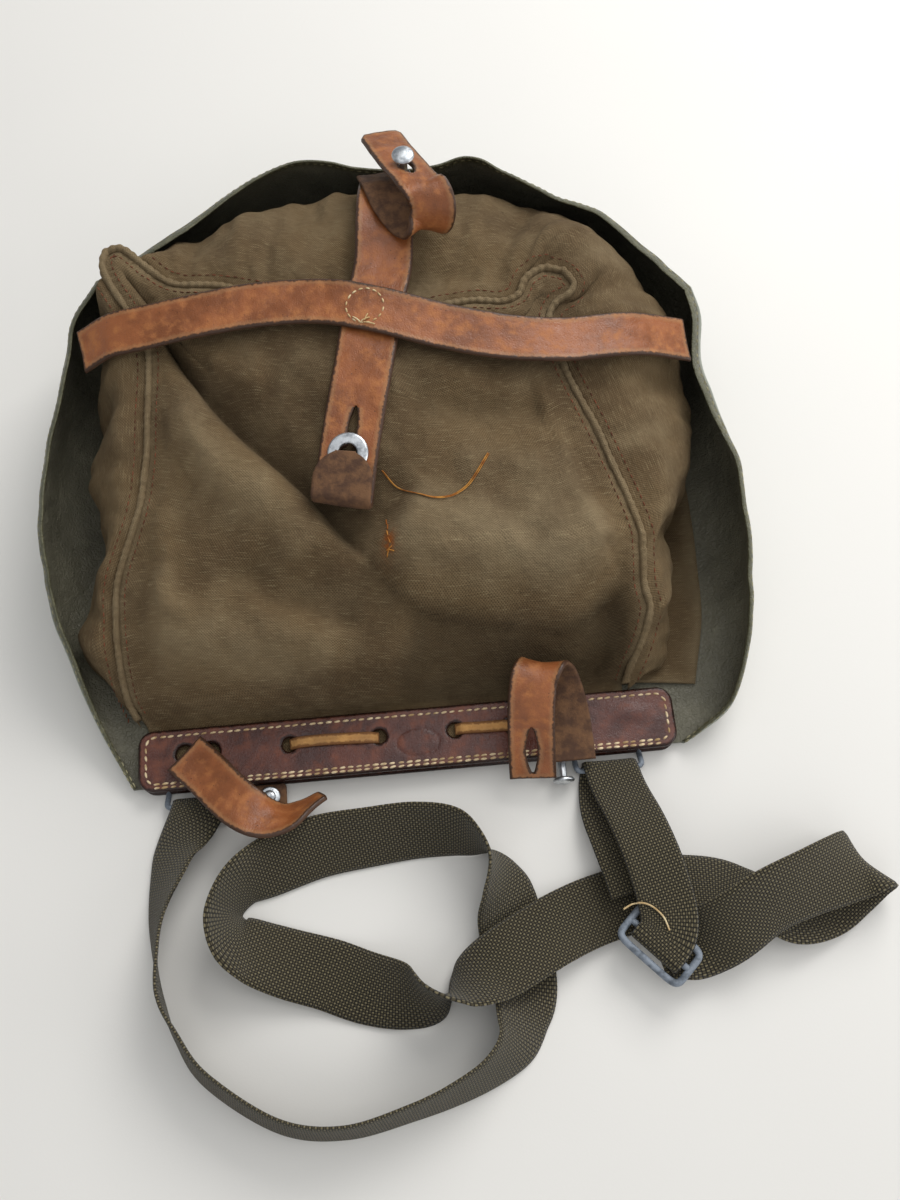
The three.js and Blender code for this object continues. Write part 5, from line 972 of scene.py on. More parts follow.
def coated_cloth_material(name):
    """Rubberised cloth: a grained, faintly shiny dark olive lining with painted highlights on the crests
    of its fine creases, and a paler, dusty outside with painted shade in the creases' dips; the edge
    attribute gives the bound rim."""
    made, add = new_material(name)
    place = add("TexCoord", out="Object")
    inner = add("Attribute", attribute_name="face", out="Fac")
    edge = add("Attribute", attribute_name="edge", out="Fac")
    cloudy = add("TexNoise", place, 14, 4.0, 0.6)
    crease = add("TexNoise", place, 70, 6.0, 0.7)
    inside = add(
        "Mix", add("MapRange", cloudy, 0.3, 0.7, **SMOOTH), hexed("#5A574A"), tone("lining_colour"),
        **COLOUR
    )
    # Painted highlight: the lining is made lighter on the crests of the crease noise that also raises the
    # bump.
    inside = add(
        "Mix", add("MapRange", crease, 0.52, 0.75, 0, 0.5, **SMOOTH), inside, hexed("#86836F"), **COLOUR
    )
    outside = add(
        "Mix", add("MapRange", cloudy, 0.3, 0.7, **SMOOTH), hexed("#6F7466"), hexed("#8B9083"), **COLOUR
    )
    # Painted shade: the outside is made darker in the dips of the same creases.
    outside = add(
        "Mix", add("MapRange", crease, 0.5, 0.3, 0, 0.6, **SMOOTH), outside, hexed("#565A4C"), **COLOUR
    )
    colour = add("Mix", inner, outside, inside, **COLOUR)
    scuffed = add("MapRange", add("TexNoise", place, 160, 4.0, 0.6), 0.45, 0.7, **SMOOTH)
    rim = add("Math", add("MapRange", edge, 0.011, 0.006, **SMOOTH), 0.85, operation="MULTIPLY")
    colour = add(
        "Mix", rim, colour, add("Mix", scuffed, hexed("#454229"), hexed("#5C583D"), **COLOUR), **COLOUR
    )
    sewn = add(
        "Math", add("MapRange", edge, 0.0042, 0.005, **SMOOTH),
        add("MapRange", edge, 0.0062, 0.0054, **SMOOTH), operation="MULTIPLY"
    )
    colour = add("Mix", add("Math", sewn, 0.7, operation="MULTIPLY"), colour, hexed("#23231A"), **COLOUR)
    grain = add(
        "TexVoronoi", Vector=place, Scale=520, Randomness=1.0, feature="DISTANCE_TO_EDGE", out="Distance"
    )
    pebble = add("MapRange", grain, 0.0, 0.22, **SMOOTH)
    bump = add("Bump", Strength=0.5, Distance=0.0004, Height=pebble)
    bump = add("Bump", Strength=0.7, Distance=0.004, Height=crease, Normal=bump)
    groove = add("Bump", Strength=0.8, Distance=0.0008, Height=sewn, Normal=bump, invert=True)
    rough = add("MapRange", crease, 0.3, 0.7, 0.34, 0.6, **SMOOTH)
    return finished(made, add, colour, rough, groove, Specular_IOR_Level=0.4)


def leather_material(name, deep, middle, bright, edge_tone, worn_tone, rough=0.42, flesh=None, grain=1100):
    """Vegetable-tanned leather, waxed by handling: mottled, with pores and dark flecks, rubbed
    paler just inside its edges and burnished dark on the cut; the back is raw and fibrous."""
    made, add = new_material(name)
    place = add("TexCoord", out="Object")
    edge = add("Attribute", attribute_name="edge", out="Fac")
    face = add("Attribute", attribute_name="face", out="Fac")
    cloudy = add("TexNoise", place, 42, 4.0, 0.62)
    streak = add("TexNoise", place, 170, 4.0, 0.65)
    colour = add("Mix", add("MapRange", cloudy, 0.36, 0.62, **SMOOTH), hexed(deep), middle, **COLOUR)
    colour = add(
        "Mix", add("MapRange", streak, 0.46, 0.72, 0, 0.62, **SMOOTH), colour, hexed(bright), **COLOUR
    )
    flecks = add("TexVoronoi", Vector=place, Scale=430, Randomness=1.0)
    spot = add("MapRange", flecks, 0.16, 0.06, **SMOOTH)
    spot = add(
        "Math", spot, add("MapRange", add("TexNoise", place, 95, 2.0), 0.5, 0.62, **SMOOTH),
        operation="MULTIPLY"
    )
    colour = add("Mix", add("Math", spot, 0.75, operation="MULTIPLY"), colour, hexed("#2A1710"), **COLOUR)
    ragged = add("Math", add("TexNoise", place, 620, 3.0), 0.0022, -0.0011, operation="MULTIPLY_ADD")
    reach = add("Math", edge, ragged, operation="ADD")
    rubbed = add("Math", add("MapRange", reach, 0.0036, 0.0018, **SMOOTH), 0.35, operation="MULTIPLY")
    colour = add("Mix", rubbed, colour, hexed(worn_tone), **COLOUR)
    colour = add(
        "Mix", add("MapRange", reach, 0.0017, 0.0007, 0, 0.9, **SMOOTH), colour, hexed(edge_tone),
        **COLOUR
    )
    if flesh:
        back = add(
            "Mix", add("MapRange", streak, 0.35, 0.65, **SMOOTH), hexed(flesh[0]), hexed(flesh[1]),
            **COLOUR
        )
        colour = add("Mix", face, back, colour, **COLOUR)
    pores = add("TexVoronoi", Vector=place, Scale=grain, Randomness=1.0)
    skin = add("MapRange", pores, 0.0, 0.6, **SMOOTH)
    wrinkle = add("TexNoise", place, 260, 5.0, 0.7)
    bump = add("Bump", Strength=0.28, Distance=0.00025, Height=skin)
    bump = add("Bump", Strength=0.4, Distance=0.0009, Height=wrinkle, Normal=bump)
    worn_rough = add("MapRange", streak, 0.35, 0.7, rough - 0.1, rough + 0.16, **SMOOTH)
    if flesh:
        worn_rough = add("Mix", face, 0.92, worn_rough)
    return finished(made, add, colour, worn_rough, bump, Specular_IOR_Level=0.38)


def webbing_material(name):
    """Coarse cotton webbing: raised nubs of paired threads in slanting rows, dark gaps between
    them and a tight selvedge down each side."""
    made, add = new_material(name)
    lay = add("UVMap", uv_map="lay")
    place = add("TexCoord", out="Object")
    along = add("SeparateXYZ", lay)
    across = along.node.outputs["Y"]
    turn = 2 * math.pi
    one = add("Math", add("Math", along, turn / 0.0024, operation="MULTIPLY"), operation="SINE")
    two = add("Math", add("Math", across, turn / 0.0022, operation="MULTIPLY"), operation="SINE")
    checks = add("Math", one, two, operation="MULTIPLY")
    nub = add("MapRange", checks, 0.02, 0.75, **SMOOTH)
    other = add("MapRange", checks, -0.02, -0.75, **SMOOTH)
    thread = add("Math", add("Math", across, turn / 0.00065, operation="MULTIPLY"), operation="SINE")
    height = add("Math", other, 0.55, nub, operation="MULTIPLY_ADD")
    height = add("Math", thread, 0.1, height, operation="MULTIPLY_ADD")
    cloudy = add("TexNoise", place, 60, 3.0)
    colour = add("Mix", cloudy, hexed("#3F3828"), tone("webbing_colour"), **COLOUR)
    raised = add("Mix", add("TexNoise", place, 700, 2.0), hexed("#655C43"), hexed("#81775A"), **COLOUR)
    lower = add("Mix", other, hexed("#15120B"), colour, **COLOUR)
    colour = add("Mix", nub, lower, raised, **COLOUR)
    bump = add("Bump", Strength=0.9, Distance=0.0006, Height=height)
    fuzz = add("TexNoise", place, 2400, 2.0)
    bump = add("Bump", Strength=0.25, Distance=0.0002, Height=fuzz, Normal=bump)
    return finished(
        made, add, colour, 0.82, bump, Specular_IOR_Level=0.3, Sheen_Weight=0.15, Sheen_Roughness=0.4
    )


def metal_material(name, tone, dull, rough, metallic=1.0):
    """Bare or painted metal, dulled and scratched by use: fine scratches and small dull spots."""
    made, add = new_material(name)
    place = add("TexCoord", out="Object")
    cloudy = add("TexNoise", place, 260, 4.0, 0.6)
    scratch = add(
        "TexNoise", add("VectorMath", place, (3200, 240, 900), operation="MULTIPLY"), 1.0, 3.0, 0.7
    )
    colour = add("Mix", add("MapRange", cloudy, 0.42, 0.7, **SMOOTH), hexed(tone), hexed(dull), **COLOUR)
    bump = add("Bump", Strength=0.22, Distance=0.00015, Height=scratch)
    gloss = add("MapRange", cloudy, 0.35, 0.7, rough, rough + 0.18, **SMOOTH)
    return finished(made, add, colour, gloss, bump, Metallic=metallic)


def thread_material(name, light, dark):
    """Twisted linen or cotton thread: matt, soiled in patches, with the lay of its strands."""
    made, add = new_material(name)
    place = add("TexCoord", out="Object")
    patchy = add("TexNoise", place, 190, 3.0)
    colour = add(
        "Mix", add("MapRange", patchy, 0.35, 0.65, **SMOOTH), hexed(dark), hexed(light), **COLOUR
    )
    bump = add("Bump", Strength=0.5, Distance=0.0002, Height=add("TexNoise", place, 3000, 1.0))
    return finished(made, add, colour, 0.85, bump, Specular_IOR_Level=0.25)


def floor_material():
    """A matt, pale table top with a barely visible unevenness."""
    made, add = new_material("pale_table")
    place = add("TexCoord", out="Object")
    colour = add("Mix", add("TexNoise", place, 5, 2.0), hexed("#DDDAD4"), hexed("#E4E1DB"), **COLOUR)
    bump = add("Bump", Strength=0.05, Distance=0.0005, Height=add("TexNoise", place, 900, 2.0))
    return finished(made, add, colour, 0.55, bump, Specular_IOR_Level=0.3)


# The photograph's camera: its place and aim in mm, its lens and sensor in mm
CAMERA_PLACE = (8.128, -243.512, 525.821)
CAMERA_AIM = (24.154, -67.415, 40.0)
LENS = 34.5
SENSOR_WIDTH = 36.0

# Assumed sizes of the cloth before sewing, in metres. They are given here and come from no
# pattern or measured surface. The flap's area is that of a made-up trapezoid and half an ellipse.
FLAP_CUT = (0.455, 0.365)
FLAP_NEAR_CUT = 0.255
FLAP_STRAIGHT_CUT = 0.18
FLAP_ROUND_CUT = 0.185
FLAP_CUT_AREA = (FLAP_NEAR_CUT + FLAP_CUT[0]) / 2 * FLAP_STRAIGHT_CUT
FLAP_CUT_AREA += math.pi / 2 * (FLAP_CUT[0] / 2) * FLAP_ROUND_CUT


# The user's settings


class HAVERSACK_PG_sizes(bpy.types.PropertyGroup):
    """How finely the bag's pieces are worked out."""

    flap_rings: bpy.props.IntProperty(
        name="Flap rings", description="Rings of the flap from its heart to its rim",
        default=92, min=20, max=140,
    )
    panel_steps: bpy.props.IntProperty(
        name="Panel steps", description="Cells across and along the rear panel", default=190, min=20, max=220
    )
    gusset_steps: bpy.props.IntProperty(
        name="Gusset steps", description="Cells round the gusset", default=560, min=60, max=800
    )
    strap_thickness: bpy.props.FloatProperty(
        name="Strap thickness", description="Leather of the straps and loops", default=STRAP_THICKNESS * MM,
        min=0.0015, max=0.004, unit="LENGTH",
    )
    stitch_pitch: bpy.props.FloatProperty(
        name="Stitch pitch", description="Spacing of the yoke's stitches", default=0.0038,
        min=0.002, max=0.008, unit="LENGTH",
    )
    canvas_colour: bpy.props.FloatVectorProperty(
        name="Canvas", description="Middle tone of the washed cotton duck", default=hexed("#6F5B3F")[:3],
        size=3, min=0, max=1, subtype="COLOR",
    )
    lining_colour: bpy.props.FloatVectorProperty(
        name="Lining", description="Light tone of the coated cloth's inner face",
        default=hexed("#74705E")[:3], size=3, min=0, max=1, subtype="COLOR",
    )
    strap_colour: bpy.props.FloatVectorProperty(
        name="Straps", description="Middle tone of the russet leather", default=hexed("#925630")[:3],
        size=3, min=0, max=1, subtype="COLOR",
    )
    yoke_colour: bpy.props.FloatVectorProperty(
        name="Yoke", description="Middle tone of the polished dark leather", default=hexed("#5C3226")[:3],
        size=3, min=0, max=1, subtype="COLOR",
    )
    webbing_colour: bpy.props.FloatVectorProperty(
        name="Webbing", description="Light tone of the webbing's threads", default=hexed("#4F4733")[:3],
        size=3, min=0, max=1, subtype="COLOR",
    )


def settings():
    """The user's settings, kept on the scene."""
    return bpy.context.scene.haversack


def tone(key):
    """One of the settings' colours, with an alpha of one."""
    return tuple(getattr(settings(), key)) + (1.0,)


def worn_of(places, seed):
    """Rubbed patches: the tops of a slow ripple over places in mm."""
    return np.clip(ripple(places, 60, seed) - 0.55, 0, 1)


class HAVERSACK_OT_flap(bpy.types.Operator):
    """Builds the coated flap that the bag lies on, with the stitches along its rim"""

    bl_idname = "haversack.flap"
    bl_label = "Flap"

    def execute(self, context):
        grid, unrolled, share, s = flap_surface(settings().flap_rings)
        normal = grid_normals(grid)
        up = smoothstep((share - 0.42) / 0.2)
        relief = 1.1 * ripple(unrolled, 48, 31) + 0.45 * ripple(unrolled, 19, 32)
        near_yoke = smoothstep((grid[..., 1] - FAR_OF_YOKE - 6) / 25)
        grid = grid + normal * (relief * up * near_yoke * (1 - 0.5 * share))[..., None]
        grid[..., 2] = np.maximum(grid[..., 2], FLAP_THICKNESS / 2)
        rim_gap = (1 - share) * 0.58 * 190
        edge = np.minimum(rim_gap, 400)
        self.rim_stitches(grid)
        piece = leaf(
            "flap_of_coated_cloth", grid, FLAP_THICKNESS, coated_cloth_material("coated_cotton_cloth"),
            unrolled * MM, edge, 0.6,
        )
        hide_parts("flap_shell")
        return {"FINISHED"}

    def rim_stitches(self, grid, inset=4):
        """A row of stitches on both faces of the flap, a few rings inside its rim: along one
        side of the grid, across its far row and back along the other side."""
        ring, heart = len(grid) - 1 - inset, len(grid) - 1
        both = np.concatenate([grid, grid_normals(grid)], -1)
        round_rim = np.concatenate([
            both[:ring, heart - ring], both[ring, heart - ring : heart + ring + 1],
            both[:ring, heart + ring][::-1],
        ])
        thread = thread_material("dusty_olive_thread", "#A39C7C", "#6F694E")
        path, normal = round_rim[:, :3], round_rim[:, 3:]
        parts = []
        for way, seed in ((1, 97), (-1, 98)):
            face = path + normal * way * FLAP_THICKNESS / 2
            parts.append(stitches(face, normal * way, 3.6, 2.7, 0.75, 0.2, 0.2, seed=seed))
        joined("rim_stitches", parts, thread)


class HAVERSACK_OT_pouch(bpy.types.Operator):
    """Builds the canvas pouch: rear panel, gusset, front panel and the turned seam between"""

    bl_idname = "haversack.pouch"
    bl_label = "Pouch"

    def execute(self, context):
        canvas = canvas_material("washed_cotton_duck")
        steps = settings().panel_steps
        grid, span, edge = panel_surface(steps, steps)
        u, v = span[..., 0] / (PANEL_SPAN[0] * MM), span[..., 1] / (PANEL_SPAN[1] * MM)
        relief = fold_relief(u, v)
        rust_far = np.hypot((u - 0.515) * 205 / 1.6, (v - 0.455) * 200 / 3.4)
        near_seam = 0.25 * np.exp(-((edge / 3) ** 2))
        fields = {
            "worn": np.clip(0.35 * np.clip(relief - 1.5, 0, 6) / 6 + near_seam, 0, 0.5),
            # Painted shade: the canvas is darkened in the dips of the folds' relief.
            "soiled": np.clip(-relief / 14, 0, 0.5),
            "rust": 0.9 * np.exp(-(rust_far**2)) + 0.25 * np.exp(-((rust_far / 2.2) ** 2)),
        }
        rear = leaf("rear_canvas", grid, CANVAS_LEAF, canvas, span, edge, 0.6, fields=fields)
        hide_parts("rear_panel")
        grid, span, edge = gusset_surface(settings().gusset_steps, 58)
        p = span / MM
        fields = {"worn": 0.35 * worn_of(p, 41), "soiled": 0.25 * worn_of(p, 42), "rust": 0 * edge}
        side = leaf(
            "gusset_canvas", grid, CANVAS_LEAF, canvas, span, edge, 0.6, fields=fields, flip=True
        )
        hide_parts("gusset")
        front = self.front(canvas)
        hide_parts("front_panel")
        self.seam(canvas)
        return {"FINISHED"}

    def front(self, canvas):
        """The front panel, half a square of rings round the middle of its mouth, laid on the
        flap's floor with a low ripple."""
        rings = 60
        j, i = np.mgrid[0 : rings + 1, -rings : rings + 1]
        ring = np.maximum(np.abs(i), j)
        safe = np.maximum(ring, 1)
        s = np.where(i == -ring, 0.25 * j / safe, 0.25 + 0.25 * (i + ring) / safe)
        s = np.where((i == ring) & (ring > 0), 1 - 0.25 * j / safe, s)
        outline = np.asarray(FRONT_OUTLINE)
        outline = np.stack([outline[:, 0] * HALF_WIDTH, NEAR_Y + outline[:, 1] * FLAP_LENGTH], -1)
        edge_xy = smooth(outline, s.ravel()).reshape(s.shape + (2,))
        heart = np.array([0, NEAR_Y + 0.1 * FLAP_LENGTH + 14])
        share = (ring / rings)[..., None]
        xy = heart + (edge_xy - heart) * share
        z = floor_height(xy[..., 0], xy[..., 1]) + 2.0 + 0.5 * ripple(xy, 40, 51) + 0.5
        grid = np.concatenate([xy, z[..., None]], -1)
        edge = (1 - share[..., 0]) * 100
        mouth = np.where(j == 0, 0.0, xy[..., 1] - heart[1] + 14)
        edge = np.minimum(edge, np.maximum(mouth, 0))
        zero = 0 * edge
        # The whole front panel is darkened a little, evenly.
        fields = {"worn": 0.3 * np.exp(-((edge / 4) ** 2)), "soiled": zero + 0.12, "rust": zero}
        return leaf("front_canvas", grid, CANVAS_LEAF, canvas, xy * MM, edge, 0.6, fields=fields)

    def seam(self, canvas):
        """The turned seam: a rounded fold carried round the rear panel's edge, pinched at each
        stitch, with the stitches along its inner side."""
        read = loop_reader(SEAM, POUCH_DEPTH)
        s = np.linspace(0.03, 0.97, 900)
        line = read(s)
        keep = line[:, 1] > FAR_OF_YOKE + 2.4
        line = line[keep]
        heading = unit(np.gradient(line, axis=0))
        flat = heading * [1, 1, 0]
        aside = unit(np.stack([-flat[:, 1], flat[:, 0], np.zeros(len(flat))], -1))
        gone = np.concatenate([[0], np.cumsum(np.linalg.norm(np.diff(line, axis=0), axis=1))])
        pinch = 1 - 0.10 * np.cos(gone * 2 * math.pi / 3.6) + 0.10 * ripple(gone[:, None], 14, 61)
        lean = 0.5 * ripple(gone[:, None], 40, 62)
        turn = np.linspace(0, 2 * math.pi, 15)[:-1]
        across = np.cos(turn) * np.abs(np.cos(turn)) ** -0.35 * SEAM_WIDTH * 0.52
        over = np.sin(turn) * SEAM_HEIGHT * 0.52
        ring = (
            line[:, None]
            + aside[:, None] * (across[None] * pinch[:, None] + lean[:, None] * np.sin(turn)[None])[..., None]
            + np.array([0, 0, 1.0]) * (over[None] * pinch[:, None] + 0.7)[..., None]
        )
        index = np.arange(len(line) * 14).reshape(len(line), 14)
        a, b = index[:-1], index[1:]
        faces = np.stack([a, np.roll(a, -1, 1), np.roll(b, -1, 1), b], -1).reshape(-1, 4)
        faces = faces.tolist() + [index[0][::-1].tolist(), index[-1].tolist()]
        across_uv = np.repeat(np.arange(14)[None] * 0.9, len(line), 0)
        uv = np.stack([np.repeat(gone[:, None], 14, 1), across_uv], -1).reshape(-1, 2) * MM
        fields = {
            "worn": np.tile(0.1 + 0.15 * np.clip(np.sin(turn), 0, 1), len(line)),
            "soiled": np.zeros(len(line) * 14), "rust": np.zeros(len(line) * 14),
        }
        piece = make_object("turned_seam", ring.reshape(-1, 3), faces, canvas, uv, fields)
        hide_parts("seam_ridge")
        self.seam_stitches(line, aside)

    def seam_stitches(self, line, aside):
        """Red-brown stitches in the rear panel beside the seam and in the gusset past it."""
        thread = thread_material("red_brown_thread", "#7A4630", "#4E2C1E")
        tree = tree_of(bpy.data.objects["rear_canvas"], bpy.data.objects["gusset_canvas"])
        parts = []
        for way, seed in ((-4.4, 71), (5.4, 72)):
            path, normals = [], []
            for place, side in zip(line[::3], aside[::3]):
                x, y = place[0] + side[0] * way, place[1] + side[1] * way
                z, normal = height_at(tree, x, y, 130)
                if normal[2] > 0.25 and abs(z - place[2]) < 14:
                    path.append((x, y, z + 0.1))
                    normals.append(normal)
            if len(path) > 8:
                parts.append(stitches(path, normals, 3.4, 2.1, 0.55, 0.25, 0.05, seed=seed))
        piece = joined("seam_stitches", parts, thread)


class HAVERSACK_OT_yoke(bpy.types.Operator):
    """Builds the leather yoke, its backing, the thongs and the rows of stitches"""

    bl_idname = "haversack.yoke"
    bl_label = "Yoke"

    def execute(self, context):
        leather = leather_material(
            "polished_dark_leather", "#40211A", tone("yoke_colour"), "#7A4630", "#1E0F0B", "#6E4030",
            rough=0.3, grain=1500,
        )
        x, y, edge = rounded_plate(YOKE_LENGTH, YOKE_WIDTH, 7, 0.8)
        keep = np.ones((x.shape[0] - 1, x.shape[1] - 1), bool)
        line = 0.08 * YOKE_WIDTH
        for share in (-0.220, -0.054, 0.088, 0.196):
            x, y, edge, keep = punch(x, y, edge, keep, (share * YOKE_LENGTH, line), 3.4)
        for share in (-0.414, -0.366):
            x, y, edge, keep = punch(x, y, edge, keep, (share * YOKE_LENGTH, line), 4.0)
        p = np.stack([x, y], -1)
        rise = 0.35 * ripple(p, 70, 81) + 0.14 * ripple(p, 18, 82)
        oval = np.hypot((x - 4.3) / 9.5, (y + 2.0) / 6.2)
        rise = rise - 0.32 * np.exp(-(((oval - 1) / 0.1) ** 2)) + 0.1 * (oval < 1)
        rise = rise + 0.9 * np.exp(-(((x - 103) / 7) ** 2) - (((y - 3) / 4) ** 2))
        grid = np.stack([x, y + YOKE_MIDDLE_Y, YOKE_LIFT + YOKE_THICKNESS / 2 + rise], -1)
        strip = leaf("yoke_of_dark_leather", grid, YOKE_THICKNESS, leather, p * MM, edge, 1.1, keep)
        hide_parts("yoke_strip")
        x, y, edge = rounded_plate(YOKE_LENGTH, YOKE_WIDTH, 7, 2.0)
        grid = np.stack([x, y + YOKE_MIDDLE_Y, BACKING_THICKNESS / 2 + 0 * x], -1)
        plan = np.stack([x, y], -1) * MM
        back = leaf("yoke_lining_leather", grid, BACKING_THICKNESS, leather, plan, edge, 1.0)
        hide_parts("yoke_backing")
        self.thread_rows()
        suede = leather_material(
            "raw_tan_thong", "#8F6230", hexed("#B07B3E"), "#C9975A", "#6B4422", "#C49A66", rough=0.85
        )
        ends = {"thong_left": (-0.220, -0.054), "thong_right": (0.088, 0.196)}
        for node, (start, end) in ends.items():
            x = np.linspace(start * YOKE_LENGTH, end * YOKE_LENGTH, 60)
            far = np.minimum(x - x[0], x[-1] - x)
            z = YOKE_TOP + 1.3 - 3.2 * np.exp(-((far / 2.6) ** 2)) + 0.25 * np.sin(x / 6)
            middle = np.stack([x, YOKE_MIDDLE_Y + line + 0.4 * np.sin(x / 9), z], -1)
            across = np.tile([0.0, 1.0, 0.08], (60, 1))
            grid, span, edge, _ = ribbon_surface(middle, across, THONG_WIDTH, 12)
            piece = leaf(node + "_tie", grid, THONG_THICKNESS, suede, span * MM, edge, 0.5)
            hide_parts(node)
        return {"FINISHED"}

    def thread_rows(self):
        """Stitches 4 mm inside the yoke's outline, and a second row along its near edge."""
        cream = thread_material("waxed_linen_thread", "#E2CDA8", "#A88B62")
        pitch = settings().stitch_pitch / MM
        turn = np.linspace(0, math.pi / 2, 8)
        half, deep, round_ = YOKE_LENGTH / 2 - 3.6, YOKE_WIDTH / 2 - 3.2, 4.5
        corner = np.stack([np.cos(turn), np.sin(turn)], -1) * round_
        outline = np.concatenate([
            corner + [half - round_, deep - round_],
            (corner * [-1, 1])[::-1] + [round_ - half, deep - round_],
            -corner + [round_ - half, round_ - deep],
            (corner * [1, -1])[::-1] + [half - round_, round_ - deep],
        ])
        outline = np.concatenate([outline, outline[:1]])
        near = np.array([[-half + 3, -YOKE_WIDTH / 2 + 1.5], [half - 3, -YOKE_WIDTH / 2 + 1.5]])
        tree = tree_of(bpy.data.objects["yoke_of_dark_leather"])
        parts = []
        for plan, seed in ((outline, 91), (near, 92)):
            gone = np.concatenate([[0], np.cumsum(np.linalg.norm(np.diff(plan, axis=0), axis=1))])
            at = np.arange(0, gone[-1], 1.0)
            x, y = (np.interp(at, gone, plan[:, k]) for k in (0, 1))
            z = [height_at(tree, a, b + YOKE_MIDDLE_Y, 60)[0] for a, b in zip(x, y)]
            path = np.stack([x, y + YOKE_MIDDLE_Y, np.array(z)], -1)
            up = np.tile([0, 0, 1.0], (len(at), 1))
            parts.append(stitches(path, up, pitch, pitch * 0.8, 1.15, 0.3, 0.25, skew=0.12, seed=seed))
        joined("yoke_stitches", parts, cream)


class HAVERSACK_OT_straps(bpy.types.Operator):
    """Builds the leather straps and belt loops, each laid on what carries it"""

    bl_idname = "haversack.straps"
    bl_label = "Straps and loops"

    def execute(self, context):
        leather = leather_material(
            "russet_bridle_leather", "#774424", tone("strap_colour"), "#AE6F3C", "#2E1D14", "#A07A52",
            rough=0.42, flesh=("#4A3325", "#6B4C33"),
        )
        thick = settings().strap_thickness / MM
        pouch = [bpy.data.objects[n] for n in ("rear_canvas", "gusset_canvas", "turned_seam")]
        tree = tree_of(*pouch)
        middle, across = ribbon_stations(placed(CENTER_STRAP, POUCH_DEPTH), 220)
        middle = lay_on(tree, middle, across, CENTER_WIDTH, thick)
        middle, across = self.turned_tip(middle, across)
        gone = np.concatenate([[0], np.cumsum(np.linalg.norm(np.diff(middle, axis=0), axis=1))])
        fold = gone[-1] - 19 - 3.2 * math.pi
        share = np.sqrt(np.clip(1 - (np.maximum(gone - gone[-1] + 13, 0) / 13.3) ** 2, 0.12, 1))
        openings = ((fold - 41, fold - 21, 1.7, 1.0), (fold - 23, fold - 15, 4.0, 0.5))
        center = self.strap(
            "center_leather", middle, across, CENTER_WIDTH, leather, "center_strap", openings, share
        )
        washer = int(np.argmin(np.abs(gone - (fold - 19))))
        washer_place = (middle[washer], middle[washer + 1] - middle[washer - 1], across[washer])
        context.scene["washer_at"] = [float(x) for x in np.concatenate(washer_place)]
        tree = tree_of(*pouch, center)
        middle, across = ribbon_stations(placed(CROSS_STRAP, POUCH_DEPTH), 300)
        middle = lay_on(tree, middle, across, CROSS_WIDTH, thick)
        self.strap("cross_leather", middle, across, CROSS_WIDTH, leather, "cross_strap")
        middle, across = ribbon_stations(placed(CLOSURE_STRAP, POUCH_DEPTH), 240)
        middle = lay_on(tree, middle, across, CLOSURE_WIDTH, thick)
        gone = np.concatenate([[0], np.cumsum(np.linalg.norm(np.diff(middle, axis=0), axis=1))])
        stud = gone[int(0.79 * 239)]
        share = np.where(gone > gone[-1] - 3, 1 - 0.22 * (gone - gone[-1] + 3) / 3, 1.0)
        self.strap(
            "closure_leather", middle, across, CLOSURE_WIDTH, leather, "closure_strap",
            ((stud - 9, stud + 7, 2.6, 0.8),), share, turned=True,
        )
        rows = self.yoke_rows(BELT_LOOP_LEFT)
        middle, across = ribbon_stations(rows, 160)
        t = np.linspace(0, 1, 160)
        share = 1 - 0.45 * smoothstep((t - 0.7) / 0.3)
        share = share * np.sqrt(np.clip(1 - (np.maximum(t - 0.97, 0) / 0.032) ** 2, 0.15, 1))
        self.strap("left_loop_leather", middle, across, LOOP_WIDTH, leather, "belt_loop_left", share=share)
        middle, across = ribbon_stations(self.yoke_rows(BELT_LOOP_RIGHT), 260)
        self.strap(
            "right_loop_leather", middle, across, LOOP_WIDTH, leather, "belt_loop_right",
            ((2, 26, 2.4, 0.9),),
        )
        x, y, edge = rounded_plate(15, 12, 2, 0.6)
        grid = np.stack([x - 0.262 * YOKE_LENGTH, y + NEAR_Y - GAP - 6, FLAP_LIFT + 1.2 + 0 * x], -1)
        tab = leaf("snap_tab_leather", grid, thick, leather, np.stack([x, y], -1) * MM, edge, 0.8)
        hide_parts("snap_tab_left")
        return {"FINISHED"}

    def yoke_rows(self, rows):
        """Rows in shares of the yoke as places in mm."""
        rows = np.asarray(rows, float).copy()
        rows[:, 0] *= YOKE_LENGTH
        rows[:, 1] = NEAR_Y + rows[:, 1] * YOKE_WIDTH
        rows[:, 2] = YOKE_TOP + rows[:, 2] * YOKE_WIDTH
        return rows

    def turned_tip(self, middle, across, length=19, radius=3.2):
        """The strap's end turned up and back: half a circle, then a straight run over it."""
        ahead = unit(middle[-1] - middle[-4])
        up = unit(np.cross(ahead, across[-1]))
        up = up * np.sign(up[2])
        turn = np.linspace(0, math.pi, 26)[1:, None]
        bend = middle[-1] + ahead * radius * np.sin(turn) + up * radius * (1 - np.cos(turn))
        run = np.linspace(0, 1, 46)[1:, None]
        flat = bend[-1] - ahead * length * run - up * 0.8 * run**2
        middle = np.concatenate([middle, bend, flat])
        return middle, np.concatenate([across, np.tile(across[-1], (len(bend) + len(flat), 1))])

    def strap(self, name, middle, across, width, material, node, openings=(), share=None, turned=False):
        """One strap: its ribbon, cupped a little across and waved by wear."""
        grid, span, edge, keep = ribbon_surface(middle, across, width, 32, openings, share)
        normal = grid_normals(grid)
        if normal[len(grid) // 3, :, 2].mean() < 0:
            normal = -normal
        side = span[..., 1] / (width / 2)
        relief = 0.35 * (side**2 - 0.3) + 0.28 * ripple(span, 30, len(name)) + 0.12 * ripple(span, 8, 7)
        grid = grid + normal * relief[..., None]
        thick = settings().strap_thickness / MM
        low = grid_normals(grid)[len(grid) // 3, :, 2].mean() < 0
        piece = leaf(name, grid, thick, material, span * MM, edge, 0.8, keep, flip=bool(low) != turned)
        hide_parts(node)
        return piece


